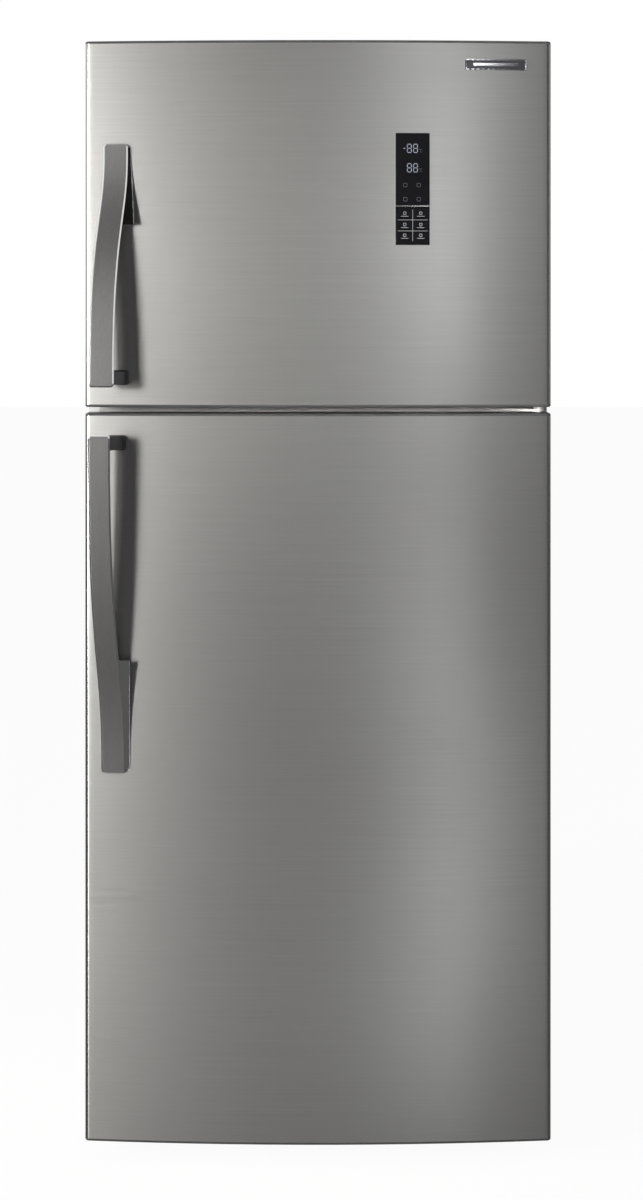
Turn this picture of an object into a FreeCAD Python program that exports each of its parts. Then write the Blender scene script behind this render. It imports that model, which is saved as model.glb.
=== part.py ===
"""Top freezer refrigerator: one STEP file for each sub-part, in millimetres.

Frame: +Z up, the doors face -Y, the hinges are on the +X side. The origin is on the floor, under the
middle of the whole object's box.
"""

import FreeCAD
import Part

import math
import os

V = FreeCAD.Vector

# ---- Driving dimensions ------------------------------------------------------------------------------------
WIDTH = 700.0             # cabinet and doors, side to side
HANDLE_FRONT = -365.0     # frontmost plane of the handles
REAR = 365.0              # rear face of the back panel
CAB_FRONT = -240.0        # plane that the door gaskets close against
CAB_TOP = 1658.0
CAB_FLOOR = 46.0          # underside of the insulation, top of the base frame
SHEET = 1.5               # painted cabinet steel
FLANGE = 16.0             # folded front edge of the cabinet sheets

# Doors
DOOR_BULGE = 20.0         # how far the middle of a door stands in front of its edges
DOOR_EDGE_FRONT = -307.0  # front of a door at its side edges
DOOR_REAR = -252.0        # rear face of a door's inner panel
DOOR_SKIN = 1.2           # formed stainless sheet
DOOR_CORNER_R = 7.0       # bend between the front and the sides
CAP = 4.0                 # end cap that shows above or below the sheet
CAP_PLUG = 12.0           # part of an end cap that goes inside the sheet
CAP_ROUND = 3.0
INNER_PANEL = 2.0         # thickness of a door's inner panel
UPPER_DOOR = (1130.5, 1680.0)
LOWER_DOOR = (28.0, 1121.5)
DYKE_HALF = 284.0         # outer half width of the ring that enters the compartment
DYKE_WALL = 26.0
DYKE_REACH = 40.0         # how far the ring stands behind the door's inner panel
UPPER_DYKE = (1180.0, 1589.0)
LOWER_DYKE = (114.0, 1074.0)

# Hinges: both doors turn about one vertical axis
HINGE_X = 335.0
HINGE_Y = -282.0
PIN_R = 5.0
PIN_PLAY = 0.05           # radial running clearance
HINGE_GAP_Z = (1123.0, 1127.0)   # arm of the middle hinge, between the two doors

# Compartments, measured on the insulation
CAVITY_HALF = 300.0
CAVITY_REAR = 310.0
FREEZER_Z = (1166.0, 1603.0)
FRIDGE_Z = (100.0, 1086.0)
LINER = 2.0
LINER_R = 22.0            # inner corner radius of the liners
STEP_FRONT = 120.0        # step of the fridge liner over the machine room
STEP_TOP = 295.0
ROOM_FRONT = 165.0        # machine room
ROOM_TOP = 250.0

# Interior
DUCT_FRONT = 284.0
SHELF_FRONT = -125.0
SHELF_REAR = 280.0
SHELF_HALF = 296.0
GLASS = 4.0
FRIDGE_SHELVES = (500.0, 720.0, 960.0)   # undersides of the glass shelves
CRISPER_COVER_Z = 299.0
COVER_REAR = 100.0        # rear edge of the crisper's lid, in front of the step
FREEZER_SHELF_Z = 1380.0
COVER_FRONT = 214.0       # front of the evaporator cover
FAN_CENTRE = (0.0, 1505.0)
FAN_R = 52.0

# Floor contact
FOOT_X, FOOT_Y, FOOT_R, FOOT_STEM_R = 300.0, -205.0, 19.0, 5.0
FOOT_PLAY = 0.08
ROLLER_X, ROLLER_Y, ROLLER_R, ROLLER_HALF = 300.0, 325.0, 15.0, 10.0
AXLE_R = 4.0

# Handles. Lengths run from the end that lies on the door to the end that stands free of it.
GRIP_CORNER_R = 5.0
GRIP_FACE = 4.5           # thickness of the front cover
# Side view of the grip: Y of its front and of its back, at the base end and at the free end
GRIP_FRONT = (-319.8, HANDLE_FRONT)
GRIP_BACK = (-314.4, -353.0)
BASE_SHARE = 0.31         # share of the length that lies on the door
# Each handle: height of its base end and free end, then left and right X at the base and at the free end,
# then the right side of the solid base at its outer and inner ends
UPPER_HANDLE = (1525.0, 1161.5, -321.8, -285.0, -339.5, -302.5, -281.0, -275.0)
LOWER_HANDLE = (583.0, 1091.0, -324.6, -288.9, -340.6, -308.2, -282.3, -281.6)


# ---- Helpers -----------------------------------------------------------------------------------------------
def box(x0, x1, y0, y1, z0, z1):
    """Closed block between two corners."""
    return Part.makeBox(x1 - x0, y1 - y0, z1 - z0, V(x0, y0, z0))


def rod(radius, start, end):
    """Round bar from one point to another."""
    start, end = V(*start), V(*end)
    return Part.makeCylinder(radius, (end - start).Length, start, end - start)


def fuse(shapes):
    """One solid out of shapes that touch or overlap."""
    first, rest = shapes[0], shapes[1:]
    return first.multiFuse(rest).removeSplitter() if rest else first


def cut(shape, tools):
    """Shape with every tool taken away."""
    for tool in tools:
        shape = shape.cut(tool)
    return shape


def rounded(shape, radius, wanted):
    """Shape with a fillet on each edge that wanted(edge) picks."""
    edges = [edge for edge in shape.Edges if wanted(edge)]
    return shape.makeFillet(radius, edges)


def runs_along(axis):
    """Test for a straight edge that is parallel to an axis."""
    def test(edge):
        ends = [vertex.Point for vertex in edge.Vertexes]
        if len(ends) != 2 or not isinstance(edge.Curve, (Part.Line, Part.LineSegment)):
            return False
        span = ends[1] - ends[0]
        others = [name for name in "xyz" if name != axis]
        return all(abs(getattr(span, name)) < 1e-6 for name in others)
    return test


def tub(x0, x1, y0, y1, z0, z1, wall, corner):
    """Open-topped box with rounded upright corners."""
    outer = rounded(box(x0, x1, y0, y1, z0, z1), corner, runs_along("z"))
    inner = box(x0 + wall, x1 - wall, y0 + wall, y1 - wall, z0 + wall, z1 + wall)
    return outer.cut(rounded(inner, corner - wall, runs_along("z")))


def prism_along_x(points, x0, x1):
    """Polygon of (y, z) points, extruded along X."""
    corners = [V(x0, y, z) for y, z in points]
    return Part.Face(Part.makePolygon(corners + corners[:1])).extrude(V(x1 - x0, 0, 0))


def save(name, *solids):
    """Writes one sub-part, after checking that it is made of sound closed solids."""
    shape = solids[0] if len(solids) == 1 else Part.makeCompound(list(solids))
    if not shape.isValid() or not shape.Solids:
        raise ValueError(f"{name} is not a sound solid")
    shape.exportStep(f"parts/{name}.step")


# ---- Cabinet -----------------------------------------------------------------------------------------------
HALF = WIDTH / 2
INSIDE = HALF - SHEET


def side_panel(side):
    """Painted side sheet with its folded front edge. Side is -1 for left, 1 for right."""
    sheet = box(INSIDE, HALF, CAB_FRONT, REAR - SHEET, CAB_FLOOR - 14, CAB_TOP)
    fold = box(HALF - FLANGE, HALF, CAB_FRONT, CAB_FRONT + SHEET, CAB_FLOOR, CAB_TOP - SHEET)
    panel = fuse([sheet, fold])
    return panel if side > 0 else panel.mirror(V(0, 0, 0), V(1, 0, 0))


def top_panel():
    """Painted top sheet with its front edge folded down."""
    sheet = box(-INSIDE, INSIDE, CAB_FRONT, REAR - SHEET, CAB_TOP - SHEET, CAB_TOP)
    reach = HALF - FLANGE
    fold = box(-reach, reach, CAB_FRONT, CAB_FRONT + SHEET, CAB_TOP - FLANGE, CAB_TOP)
    return fuse([sheet, fold])


def back_panel():
    """Flat rear sheet with two shallow upright grooves pressed into it."""
    sheet = box(-HALF, HALF, REAR - SHEET, REAR, ROOM_TOP, CAB_TOP)
    grooves = [box(x - 9, x + 9, REAR - 0.7, REAR + 1, ROOM_TOP + 90, CAB_TOP - 90) for x in (-170, 170)]
    return cut(sheet, grooves)


def cabinet_insulation():
    """Foam blocks that fill the walls between the sheets and the liners."""
    front, rear = CAB_FRONT + SHEET, REAR - SHEET
    low, high = CAB_FLOOR, CAB_TOP - SHEET
    reach = CAVITY_HALF
    blocks = []
    for side in (-1, 1):
        x0, x1 = sorted((side * reach, side * INSIDE))
        blocks.append(box(x0, x1, front, ROOM_FRONT, low, high))
        blocks.append(box(x0, x1, ROOM_FRONT, rear, ROOM_TOP, high))
    blocks.append(box(-reach, reach, front, rear, FREEZER_Z[1], high))
    blocks.append(box(-reach, reach, front, rear, FRIDGE_Z[1], FREEZER_Z[0]))
    blocks.append(box(-reach, reach, CAVITY_REAR, rear, *FREEZER_Z))
    blocks.append(box(-reach, reach, CAVITY_REAR, rear, STEP_TOP, FRIDGE_Z[1]))
    blocks.append(box(-reach, reach, front, STEP_FRONT, low, FRIDGE_Z[0]))
    blocks.append(box(-reach, reach, STEP_FRONT, ROOM_FRONT, low, STEP_TOP))
    blocks.append(box(-reach, reach, ROOM_FRONT, rear, ROOM_TOP, STEP_TOP))
    return blocks


def liner_shell(outline, rear_radius):
    """Thin moulded lining: outline is the (y, z) section of the hole in the foam."""
    outer = prism_along_x(outline, -CAVITY_HALF, CAVITY_HALF)
    low_z, high_z = min(z for _, z in outline), max(z for _, z in outline)

    def inward(y, z):
        deep = y - LINER if y > CAB_FRONT else y - 1
        if z == high_z:
            return deep, z - LINER
        return deep, z + LINER

    inner = prism_along_x([inward(y, z) for y, z in outline], LINER - CAVITY_HALF, CAVITY_HALF - LINER)

    def bent(edge):
        span = edge.BoundBox
        at_step = span.XLength > 1 and span.YMin < STEP_FRONT + 1 < span.YMax + 4 and span.ZMin > STEP_TOP - 1
        return span.YMax > CAB_FRONT + 0.5 and not (at_step and span.ZMax < STEP_TOP + 9)

    return rounded(outer, rear_radius + LINER, bent).cut(rounded(inner, rear_radius, bent))


def mouth_flange(z0, z1, hole_z0, hole_z1):
    """Flat rim of a liner on the front of the foam, inside the folded steel edges."""
    reach = HALF - FLANGE
    rim = box(-reach, reach, CAB_FRONT, CAB_FRONT + SHEET, z0, z1)
    return rim.cut(box(-CAVITY_HALF, CAVITY_HALF, CAB_FRONT - 1, CAB_FRONT + 5, hole_z0, hole_z1))


def ledges(levels, rear):
    """Shelf ledges on both side walls: each level is the top of a ledge."""
    inner = CAVITY_HALF - LINER
    made = []
    for level in levels:
        for side in (-1, 1):
            x0, x1 = sorted((side * (inner - 9), side * (inner + 0.5)))
            made.append(box(x0, x1, SHELF_FRONT + 10, rear, level - 10, level))
    return made


def freezer_liner():
    """Lining of the freezer with its front rim and one pair of ledges."""
    z0, z1 = FREEZER_Z
    outline = [(CAB_FRONT, z0), (CAVITY_REAR, z0), (CAVITY_REAR, z1), (CAB_FRONT, z1)]
    shell = liner_shell(outline, LINER_R)
    rim = mouth_flange(z0, CAB_TOP - FLANGE, z0, z1)
    return fuse([shell, rim] + ledges([FREEZER_SHELF_Z], COVER_FRONT - 10))


def fridge_liner():
    """Lining of the fridge, stepped over the machine room, with its front rim and the shelf ledges."""
    z0, z1 = FRIDGE_Z
    outline = [(CAB_FRONT, z0), (STEP_FRONT, z0), (STEP_FRONT, STEP_TOP), (CAVITY_REAR, STEP_TOP),
               (CAVITY_REAR, z1), (CAB_FRONT, z1)]
    shell = liner_shell(outline, LINER_R)
    rim = mouth_flange(CAB_FLOOR + 4, z1, z0, z1)
    supports = ledges(FRIDGE_SHELVES, DUCT_FRONT - 10) + ledges([CRISPER_COVER_Z], COVER_REAR)
    return fuse([shell, rim] + supports)


def mullion_rail():
    """Steel rail on the front of the wall between the compartments."""
    reach = HALF - FLANGE
    rail = box(-reach, reach, CAB_FRONT, CAB_FRONT + SHEET, FRIDGE_Z[1], FREEZER_Z[0])
    holes = [rod(2.6, (x, CAB_FRONT - 1, HINGE_FLANGE_Z), (x, CAB_FRONT + 5, HINGE_FLANGE_Z))
             for x in HINGE_SCREW_X]
    return cut(rail, holes)


# ---- Base and machine room ---------------------------------------------------------------------------------
BASE_LOW = 30.0


def base_frame():
    """Welded base: two side rails, a front rail with the foot nuts, a compressor plate, roller cheeks."""
    rails = []
    for side in (-1, 1):
        x0, x1 = sorted((side * 262, side * INSIDE))
        rails.append(box(x0, x1, -180, ROOM_FRONT - 4, BASE_LOW, CAB_FLOOR))
        for cheek in (-1, 1):
            x = side * ROLLER_X + cheek * (ROLLER_HALF + 2.5)
            plate = box(x - 1.5, x + 1.5, ROLLER_Y - 14, ROLLER_Y + 14, 6, CAB_FLOOR - 2)
            bore = rod(AXLE_R + 0.05, (x - 5, ROLLER_Y, ROLLER_R), (x + 5, ROLLER_Y, ROLLER_R))
            rails.append(plate.cut(bore))
    front = box(-INSIDE, INSIDE, CAB_FRONT + 12, -180, BASE_LOW, CAB_FLOOR)
    wells = [rod(FOOT_STEM_R + FOOT_PLAY, (side * FOOT_X, FOOT_Y, BASE_LOW - 1),
                 (side * FOOT_X, FOOT_Y, CAB_FLOOR + 1)) for side in (-1, 1)]
    plate = box(-INSIDE, INSIDE, ROOM_FRONT - 4, REAR - SHEET, CAB_FLOOR - 2, CAB_FLOOR)
    hinge_block = box(274, 344, CAB_FRONT, CAB_FRONT + 12, BASE_LOW, CAB_FLOOR)
    return [cut(front, wells), plate, hinge_block] + rails


def foot(side):
    """Levelling foot: ribbed plastic pad on a steel stem."""
    x = side * FOOT_X
    pad = rounded(rod(FOOT_R, (x, FOOT_Y, 0), (x, FOOT_Y, 11)), 2,
                  lambda e: abs(e.BoundBox.ZMin - 11) < 1e-6 and abs(e.BoundBox.ZMax - 11) < 1e-6)
    notches = []
    for step in range(16):
        turn = math.radians(step * 22.5)
        centre = (x + FOOT_R * math.cos(turn), FOOT_Y + FOOT_R * math.sin(turn))
        notches.append(rod(1.4, (*centre, 3), (*centre, 14)))
    stem = rod(FOOT_STEM_R, (x, FOOT_Y, 10), (x, FOOT_Y, CAB_FLOOR - 0.5))
    return fuse([cut(pad, notches), stem])


def roller(side):
    """Rear transport wheel."""
    x = side * ROLLER_X
    tread = rod(ROLLER_R, (x - ROLLER_HALF, ROLLER_Y, ROLLER_R), (x + ROLLER_HALF, ROLLER_Y, ROLLER_R))
    wheel = rounded(tread, 1.5, lambda e: e.BoundBox.XLength < 1e-6)
    return wheel.cut(rod(AXLE_R + 0.05, (x - 20, ROLLER_Y, ROLLER_R), (x + 20, ROLLER_Y, ROLLER_R)))


def roller_axles():
    """Two steel pins with a head at each end, through the cheeks and the wheels."""
    axles = []
    for side in (-1, 1):
        x = side * ROLLER_X
        reach = ROLLER_HALF + 4.3
        pin = rod(AXLE_R, (x - reach - 1, ROLLER_Y, ROLLER_R), (x + reach + 1, ROLLER_Y, ROLLER_R))
        heads = [rod(6.5, (x + end * reach, ROLLER_Y, ROLLER_R),
                     (x + end * (reach + 2.5), ROLLER_Y, ROLLER_R)) for end in (-1, 1)]
        axles.append(fuse([pin] + heads))
    return axles


COMPRESSOR_X, COMPRESSOR_Y = -90.0, 262.0
MOUNT_Z = CAB_FLOOR + 12


def compressor():
    """Hermetic compressor: welded shell, foot plate, terminal box and stub pipes."""
    x, y, z = COMPRESSOR_X, COMPRESSOR_Y, MOUNT_Z
    profile = [V(0, 0, 6), V(66, 0, 6), V(78, 0, 20), V(80, 0, 62), V(80, 0, 96)]
    lower = Part.makePolygon(profile).Edges
    dome = Part.Arc(V(80, 0, 96), V(62, 0, 134), V(0, 0, 154)).toShape()
    closing = Part.makeLine(V(0, 0, 154), V(0, 0, 6))
    section = Part.Face(Part.Wire(lower + [dome, closing]))
    shell = section.revolve(V(0, 0, 0), V(0, 0, 1), 360)
    seam = Part.makeCylinder(82.5, 5, V(0, 0, 66))
    plate = rounded(box(-110, 110, -62, 62, 0, 3), 12, runs_along("z"))
    riser = Part.makeCylinder(58, 8, V(0, 0, 1))
    terminal = rounded(box(70, 112, -26, 26, 40, 92), 5, runs_along("z"))
    pipes = [rod(4, (-40, 30, 100), (-40, 30, 172)), rod(3, (-15, 52, 90), (-15, 52, 168)),
             rod(3, (20, -48, 90), (20, -48, 160))]
    body = fuse([shell, seam, plate, riser, terminal] + pipes)
    holes = [rod(7, (sx * 96, sy * 48, -1), (sx * 96, sy * 48, 8)) for sx in (-1, 1) for sy in (-1, 1)]
    body = cut(body, holes)
    body.translate(V(x, y, z))
    return body


def compressor_mounts():
    """Four waisted rubber grommets between the compressor plate and the base."""
    made = []
    for sx in (-1, 1):
        for sy in (-1, 1):
            x, y = COMPRESSOR_X + sx * 96, COMPRESSOR_Y + sy * 48
            lower = Part.makeCylinder(12, 12, V(x, y, CAB_FLOOR))
            neck = Part.makeCylinder(6.9, 3.2, V(x, y, MOUNT_Z - 0.1))
            upper = Part.makeCylinder(11, 4, V(x, y, MOUNT_Z + 3))
            bore = rod(3.2, (x, y, CAB_FLOOR - 1), (x, y, MOUNT_Z + 9))
            made.append(fuse([lower, neck, upper]).cut(bore))
    return made


def drain_pan():
    """Tray that catches and evaporates the defrost water."""
    return tub(70, 300, 180, 345, CAB_FLOOR + 4, CAB_FLOOR + 46, 2.0, 14)


GLAND_X, GLAND_Z, GLAND_R = -262.0, 96.0, 9.0


def compressor_cover():
    """Rear cover of the machine room with rows of air slots and the hole for the cord gland."""
    sheet = box(-HALF + 2, HALF - 2, REAR - SHEET, REAR, CAB_FLOOR - 8, ROOM_TOP - 1)
    slots = []
    for column in range(5):
        x = -190 + column * 92
        for row in range(9):
            z = 78 + row * 16
            slots.append(box(x, x + 72, REAR - 5, REAR + 5, z, z + 7))
    hole = rod(GLAND_R, (GLAND_X, REAR - 5, GLAND_Z), (GLAND_X, REAR + 5, GLAND_Z))
    return cut(sheet, [Part.makeCompound(slots), hole])


def cord_gland():
    """Plastic bush that the mains cord passes through, flush with the cover."""
    x, z = GLAND_X, GLAND_Z
    neck = rod(GLAND_R - 0.1, (x, REAR - 9, z), (x, REAR, z))
    collar = rod(GLAND_R + 4, (x, REAR - 9, z), (x, REAR - SHEET - 0.1, z))
    return fuse([neck, collar]).cut(rod(4, (x, REAR - 20, z), (x, REAR + 5, z)))


def toe_grille():
    """Slotted plastic strip under the front of the cabinet."""
    strip = box(-330, 268, CAB_FRONT + 2, CAB_FRONT + 10, 9, CAB_FLOOR - 2)
    slots = [box(x, x + 14, CAB_FRONT, CAB_FRONT + 14, 16, 38) for x in range(-290, 230, 22)]
    return strip.cut(Part.makeCompound(slots))


# ---- Hinges ------------------------------------------------------------------------------------------------
HINGE_SCREW_X = (291.0, 315.0)
HINGE_FLANGE_Z = 1117.0
ARM_R = 9.5
ARM_CLEAR = 0.3           # gap between a hinge plate and what it is screwed to
BOTTOM_ARM_Z = (24.2, 27.2)
TOP_ARM_Z = (1677.6, 1680.2)
TOP_HOLES = ((303.0, -216.0), (330.0, -216.0), (316.0, -180.0))
COVER_TOP = 1686.0        # low enough to stay out of sight behind the raised lip of the door
LIP_REAR = -297.0         # the upper door's top steps down behind this plane
LIP_STEP = 3.0


def hinge_arm(z0, z1, x0):
    """Horizontal plate from the cabinet front to round the pin, slanted so that the open door clears it."""
    rear = CAB_FRONT - ARM_CLEAR
    nose = Part.makeCylinder(ARM_R, z1 - z0, V(HINGE_X, HINGE_Y, z0))
    corners = [V(x0, rear, z0), V(x0, rear - 18, z0), V(HINGE_X - 5, HINGE_Y - 8, z0),
               V(HINGE_X + 9, HINGE_Y + 3, z0), V(HINGE_X - 2, rear, z0)]
    plate = Part.Face(Part.makePolygon(corners + corners[:1])).extrude(V(0, 0, z1 - z0))
    return fuse([plate, nose])


def middle_hinge():
    """Bracket on the mullion whose pin carries the upper door and guides the lower one."""
    z0, z1 = HINGE_GAP_Z
    rear = CAB_FRONT - ARM_CLEAR
    flange = box(278, HINGE_X - 2, rear - 3, rear, 1109, z1)
    collar = Part.makeCylinder(9, UPPER_DOOR[0] - z1 - 0.4, V(HINGE_X, HINGE_Y, z1))
    pin = rod(PIN_R, (HINGE_X, HINGE_Y, LOWER_DOOR[1] - 14), (HINGE_X, HINGE_Y, UPPER_DOOR[0] + 14))
    holes = [rod(2.6, (x, CAB_FRONT - 9, HINGE_FLANGE_Z), (x, CAB_FRONT + 5, HINGE_FLANGE_Z))
             for x in HINGE_SCREW_X]
    return cut(fuse([hinge_arm(z0, z1, 278), flange, collar, pin]), holes)


def bottom_hinge():
    """Bracket on the base frame that carries the lower door."""
    z0, z1 = BOTTOM_ARM_Z
    rear = CAB_FRONT - ARM_CLEAR
    flange = box(278, HINGE_X - 2, rear - 3, rear, 20, 56)
    collar = Part.makeCylinder(8.5, LOWER_DOOR[0] - z1 - 0.3, V(HINGE_X, HINGE_Y, z1))
    pin = rod(PIN_R, (HINGE_X, HINGE_Y, z0), (HINGE_X, HINGE_Y, LOWER_DOOR[0] + 14))
    return fuse([hinge_arm(z0, z1, 278), flange, collar, pin])


def top_hinge():
    """Bracket screwed to the cabinet top, with a riser and an arm over the upper door."""
    z0, z1 = TOP_ARM_Z
    rear = CAB_FRONT - ARM_CLEAR
    riser = box(297, HINGE_X - 2, rear - 3, rear, CAB_TOP + 0.2, z1)
    plate = box(292, 345, rear - 3, -164, CAB_TOP + 0.2, CAB_TOP + 3.2)
    pin = rod(PIN_R, (HINGE_X, HINGE_Y, UPPER_DOOR[1] - 14), (HINGE_X, HINGE_Y, z1))
    holes = [rod(2.6, (x, y, CAB_TOP - 5), (x, y, CAB_TOP + 9)) for x, y in TOP_HOLES]
    return cut(fuse([hinge_arm(z0, z1, 297), riser, plate, pin]), holes)


def top_hinge_cover():
    """Low plastic hood over the top hinge's plate and screws."""
    outer = box(286, 349, CAB_FRONT + 0.5, -150, CAB_TOP + 0.2, COVER_TOP)
    outer = rounded(outer, 5, lambda e: e.BoundBox.ZMin > COVER_TOP - 1
                    or (runs_along("z")(e) and e.Vertexes[0].Y > -151))
    inner = box(288.5, 346.5, CAB_FRONT - 5, -152.5, CAB_TOP - 5, COVER_TOP - 2.5)
    return outer.cut(inner)


def screw(head, direction, length=9.0):
    """Pan head screw: the head lies against the plate and the shank goes along direction."""
    head, direction = V(*head), V(*direction)
    cap = Part.makeCylinder(4.6, 2.4, head, direction * -1)
    shank = Part.makeCylinder(2.1, length, head - direction * 0.5, direction)
    slots = [Part.makeBox(5, 1, 1.4), Part.makeBox(1, 5, 1.4)]
    slots[0].translate(V(-2.5, -0.5, -0.7))
    slots[1].translate(V(-0.5, -2.5, -0.7))
    cross = slots[0].fuse(slots[1])
    cross.Placement = FreeCAD.Placement(head - direction * 2.4, FreeCAD.Rotation(V(0, 0, 1), direction))
    return cap.fuse(shank).cut(cross)


def cabinet_screws():
    """The screws of the middle and top hinges."""
    made = [screw((x, CAB_FRONT - 3.3, HINGE_FLANGE_Z), (0, 1, 0), 4.4) for x in HINGE_SCREW_X]
    made += [screw((x, y, CAB_TOP + 3.3), (0, 0, -1), 2.8) for x, y in TOP_HOLES]
    return made


# ---- Cold air circuit --------------------------------------------------------------------------------------
def evaporator():
    """Fin and tube coil behind the freezer cover: rows of tube through a stack of fins and two end plates."""
    fins = [box(x, x + 1.2, 232, 296, 1200, 1400) for x in range(-220, 221, 20)]
    plates = [box(x, x + 2, 228, 300, 1196, 1404) for x in (-234, 232)]
    tubes = [rod(4, (-242, y, 1214 + row * 24), (242, y, 1214 + row * 24))
             for row in range(8) for y in (248, 280)]
    return fuse(tubes + fins + plates)


def evaporator_cover():
    """Front wall of the coil's chamber, with return slots below and a round grille for the fan above."""
    reach = CAVITY_HALF - LINER - 1.5
    low, high = FREEZER_Z[0] + LINER + 24, FREEZER_Z[1] - LINER - 24
    panel = rounded(box(-reach, reach, COVER_FRONT, COVER_FRONT + 60, low, high), 4,
                    lambda e: e.BoundBox.YMax < COVER_FRONT + 0.1)
    hollow = box(-reach + 2.5, reach - 2.5, COVER_FRONT + 2.5, COVER_FRONT + 70, low + 2.5, high - 2.5)
    slots = [box(x, x + 44, COVER_FRONT - 5, COVER_FRONT + 8, 1202, 1210) for x in range(-262, 240, 58)]
    slots += [box(x, x + 44, COVER_FRONT - 5, COVER_FRONT + 8, 1218, 1226) for x in range(-262, 240, 58)]
    fan_x, fan_z = FAN_CENTRE
    rings = []
    for radius in (46, 34, 22):
        outer = rod(radius, (fan_x, COVER_FRONT - 5, fan_z), (fan_x, COVER_FRONT + 8, fan_z))
        inner = rod(radius - 7, (fan_x, COVER_FRONT - 6, fan_z), (fan_x, COVER_FRONT + 9, fan_z))
        rings.append(outer.cut(inner))
    spokes = box(fan_x - 60, fan_x + 60, COVER_FRONT - 9, COVER_FRONT + 9, fan_z - 3, fan_z + 3)
    spokes = spokes.fuse(box(fan_x - 3, fan_x + 3, COVER_FRONT - 9, COVER_FRONT + 9, fan_z - 60, fan_z + 60))
    grille = [ring.cut(spokes) for ring in rings]
    return cut(panel, [hollow, Part.makeCompound(slots)] + grille)


def evaporator_fan():
    """Fan wheel: a hub with five pitched blades."""
    fan_x, fan_z = FAN_CENTRE
    y0 = COVER_FRONT + 14
    hub = rod(14, (fan_x, y0, fan_z), (fan_x, y0 + 16, fan_z))
    blades = []
    for step in range(5):
        blade = rounded(Part.makeBox(26, 1.8, FAN_R - 8, V(-13, -0.9, 8)), 8,
                        lambda e: runs_along("y")(e) and e.Vertexes[0].Z > 20)
        blade.rotate(V(0, 0, 0), V(0, 0, 1), 28)
        blade.rotate(V(0, 0, 0), V(0, 1, 0), step * 72)
        blade.translate(V(fan_x, y0 + 8, fan_z))
        blades.append(blade)
    bore = rod(2.55, (fan_x, y0 + 4, fan_z), (fan_x, y0 + 30, fan_z))
    return fuse([hub] + blades).cut(bore)


def fan_motor():
    """Fan motor with its shaft, on a bracket plate."""
    fan_x, fan_z = FAN_CENTRE
    y0 = COVER_FRONT + 36
    can = rod(22, (fan_x, y0, fan_z), (fan_x, y0 + 30, fan_z))
    shaft = rod(2.5, (fan_x, y0 - 16, fan_z), (fan_x, y0 + 2, fan_z))
    plate = box(fan_x - 60, fan_x + 60, y0 + 20, y0 + 22, fan_z - 16, fan_z + 16)
    return fuse([can, shaft, plate])


def air_duct():
    """Moulded duct on the fridge's rear wall with outlets at each shelf."""
    low, high = STEP_TOP + LINER + 26, FRIDGE_Z[1] - LINER - 26
    duct = rounded(box(-92, 92, DUCT_FRONT, CAVITY_REAR - LINER - 0.2, low, high), 5,
                   lambda e: e.BoundBox.YMax < DUCT_FRONT + 0.1)
    hollow = box(-89, 89, DUCT_FRONT + 3, CAVITY_REAR + 5, low + 3, high - 3)
    slots = []
    for level in (400, 590, 800, 1010):
        for row in range(3):
            for side in (-1, 1):
                x0, x1 = sorted((side * 22, side * 74))
                low_z = level + row * 12
                slots.append(box(x0, x1, DUCT_FRONT - 5, DUCT_FRONT + 8, low_z, low_z + 5))
    return cut(duct, [hollow, Part.makeCompound(slots)])


# ---- Shelves and drawers -----------------------------------------------------------------------------------
def glass_plate(z, rear):
    """Toughened glass shelf plate."""
    return rounded(box(-SHELF_HALF + 3, SHELF_HALF - 3, SHELF_FRONT, rear, z + 1, z + 1 + GLASS), 6,
                   runs_along("z"))


def shelf_trims():
    """Plastic edge strips that grip each glass plate along its front and rear."""
    made = []
    for z, rear in [(z, SHELF_REAR) for z in FRIDGE_SHELVES] + [(CRISPER_COVER_Z, COVER_REAR)]:
        for y0, y1 in ((SHELF_FRONT - 6, SHELF_FRONT + 12), (rear - 10, rear + 3)):
            strip = rounded(box(-SHELF_HALF, SHELF_HALF, y0, y1, z, z + 15), 3, runs_along("x"))
            made.append(strip.cut(glass_plate(z, rear)))
    return made


def freezer_shelf():
    """Wire rack: cross wires on two long wires, welded to a rim."""
    z, y0, y1, reach = FREEZER_SHELF_Z + 3, -118.0, 200.0, 293.0
    rim = [rod(3, (-reach, y0, z), (reach, y0, z)), rod(3, (-reach, y1, z), (reach, y1, z))]
    rim += [rod(3, (side * reach, y0, z), (side * reach, y1, z)) for side in (-1, 1)]
    wires = [rod(1.6, (x, y0, z), (x, y1, z)) for x in range(-270, 271, 27)]
    corners = [Part.makeSphere(3, V(sx * reach, y, z)) for sx in (-1, 1) for y in (y0, y1)]
    return fuse(rim + wires + corners)


def crisper_cover():
    """Glass lid over the crisper, in the place of the lowest shelf."""
    return glass_plate(CRISPER_COVER_Z, COVER_REAR)


CRISPER = (-284.0, 284.0, -126.0, 102.0, 106.0, 288.0)
CHILLER = (-262.0, 262.0, -120.0, 190.0, 975.5, 1058.0)
ICE_BOX = (-286.0, -64.0, -118.0, 150.0, 1387.0, 1482.0)
DRAWER_WALL = 2.6


def drawer(x0, x1, y0, y1, z0, z1):
    """Drawer with a thicker front that carries a rolled pull lip."""
    body = tub(x0, x1, y0, y1, z0, z1, DRAWER_WALL, 14)
    front = rounded(box(x0 - 1, x1 + 1, y0 - 3.5, y0 + 1.2, z0 + 4, z1 + 2), 1.5, runs_along("y"))
    lip = rounded(box(x0 + 60, x1 - 60, y0 - 13, y0 - 2, z1 - 8, z1 + 2), 3,
                  lambda e: runs_along("x")(e) and e.Vertexes[0].Y < y0 - 12)
    under = box(x0 + 62.5, x1 - 62.5, y0 - 10.5, y0 - 3.6, z1 - 12, z1 - 1)
    return fuse([body, front, lip]).cut(under)


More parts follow.
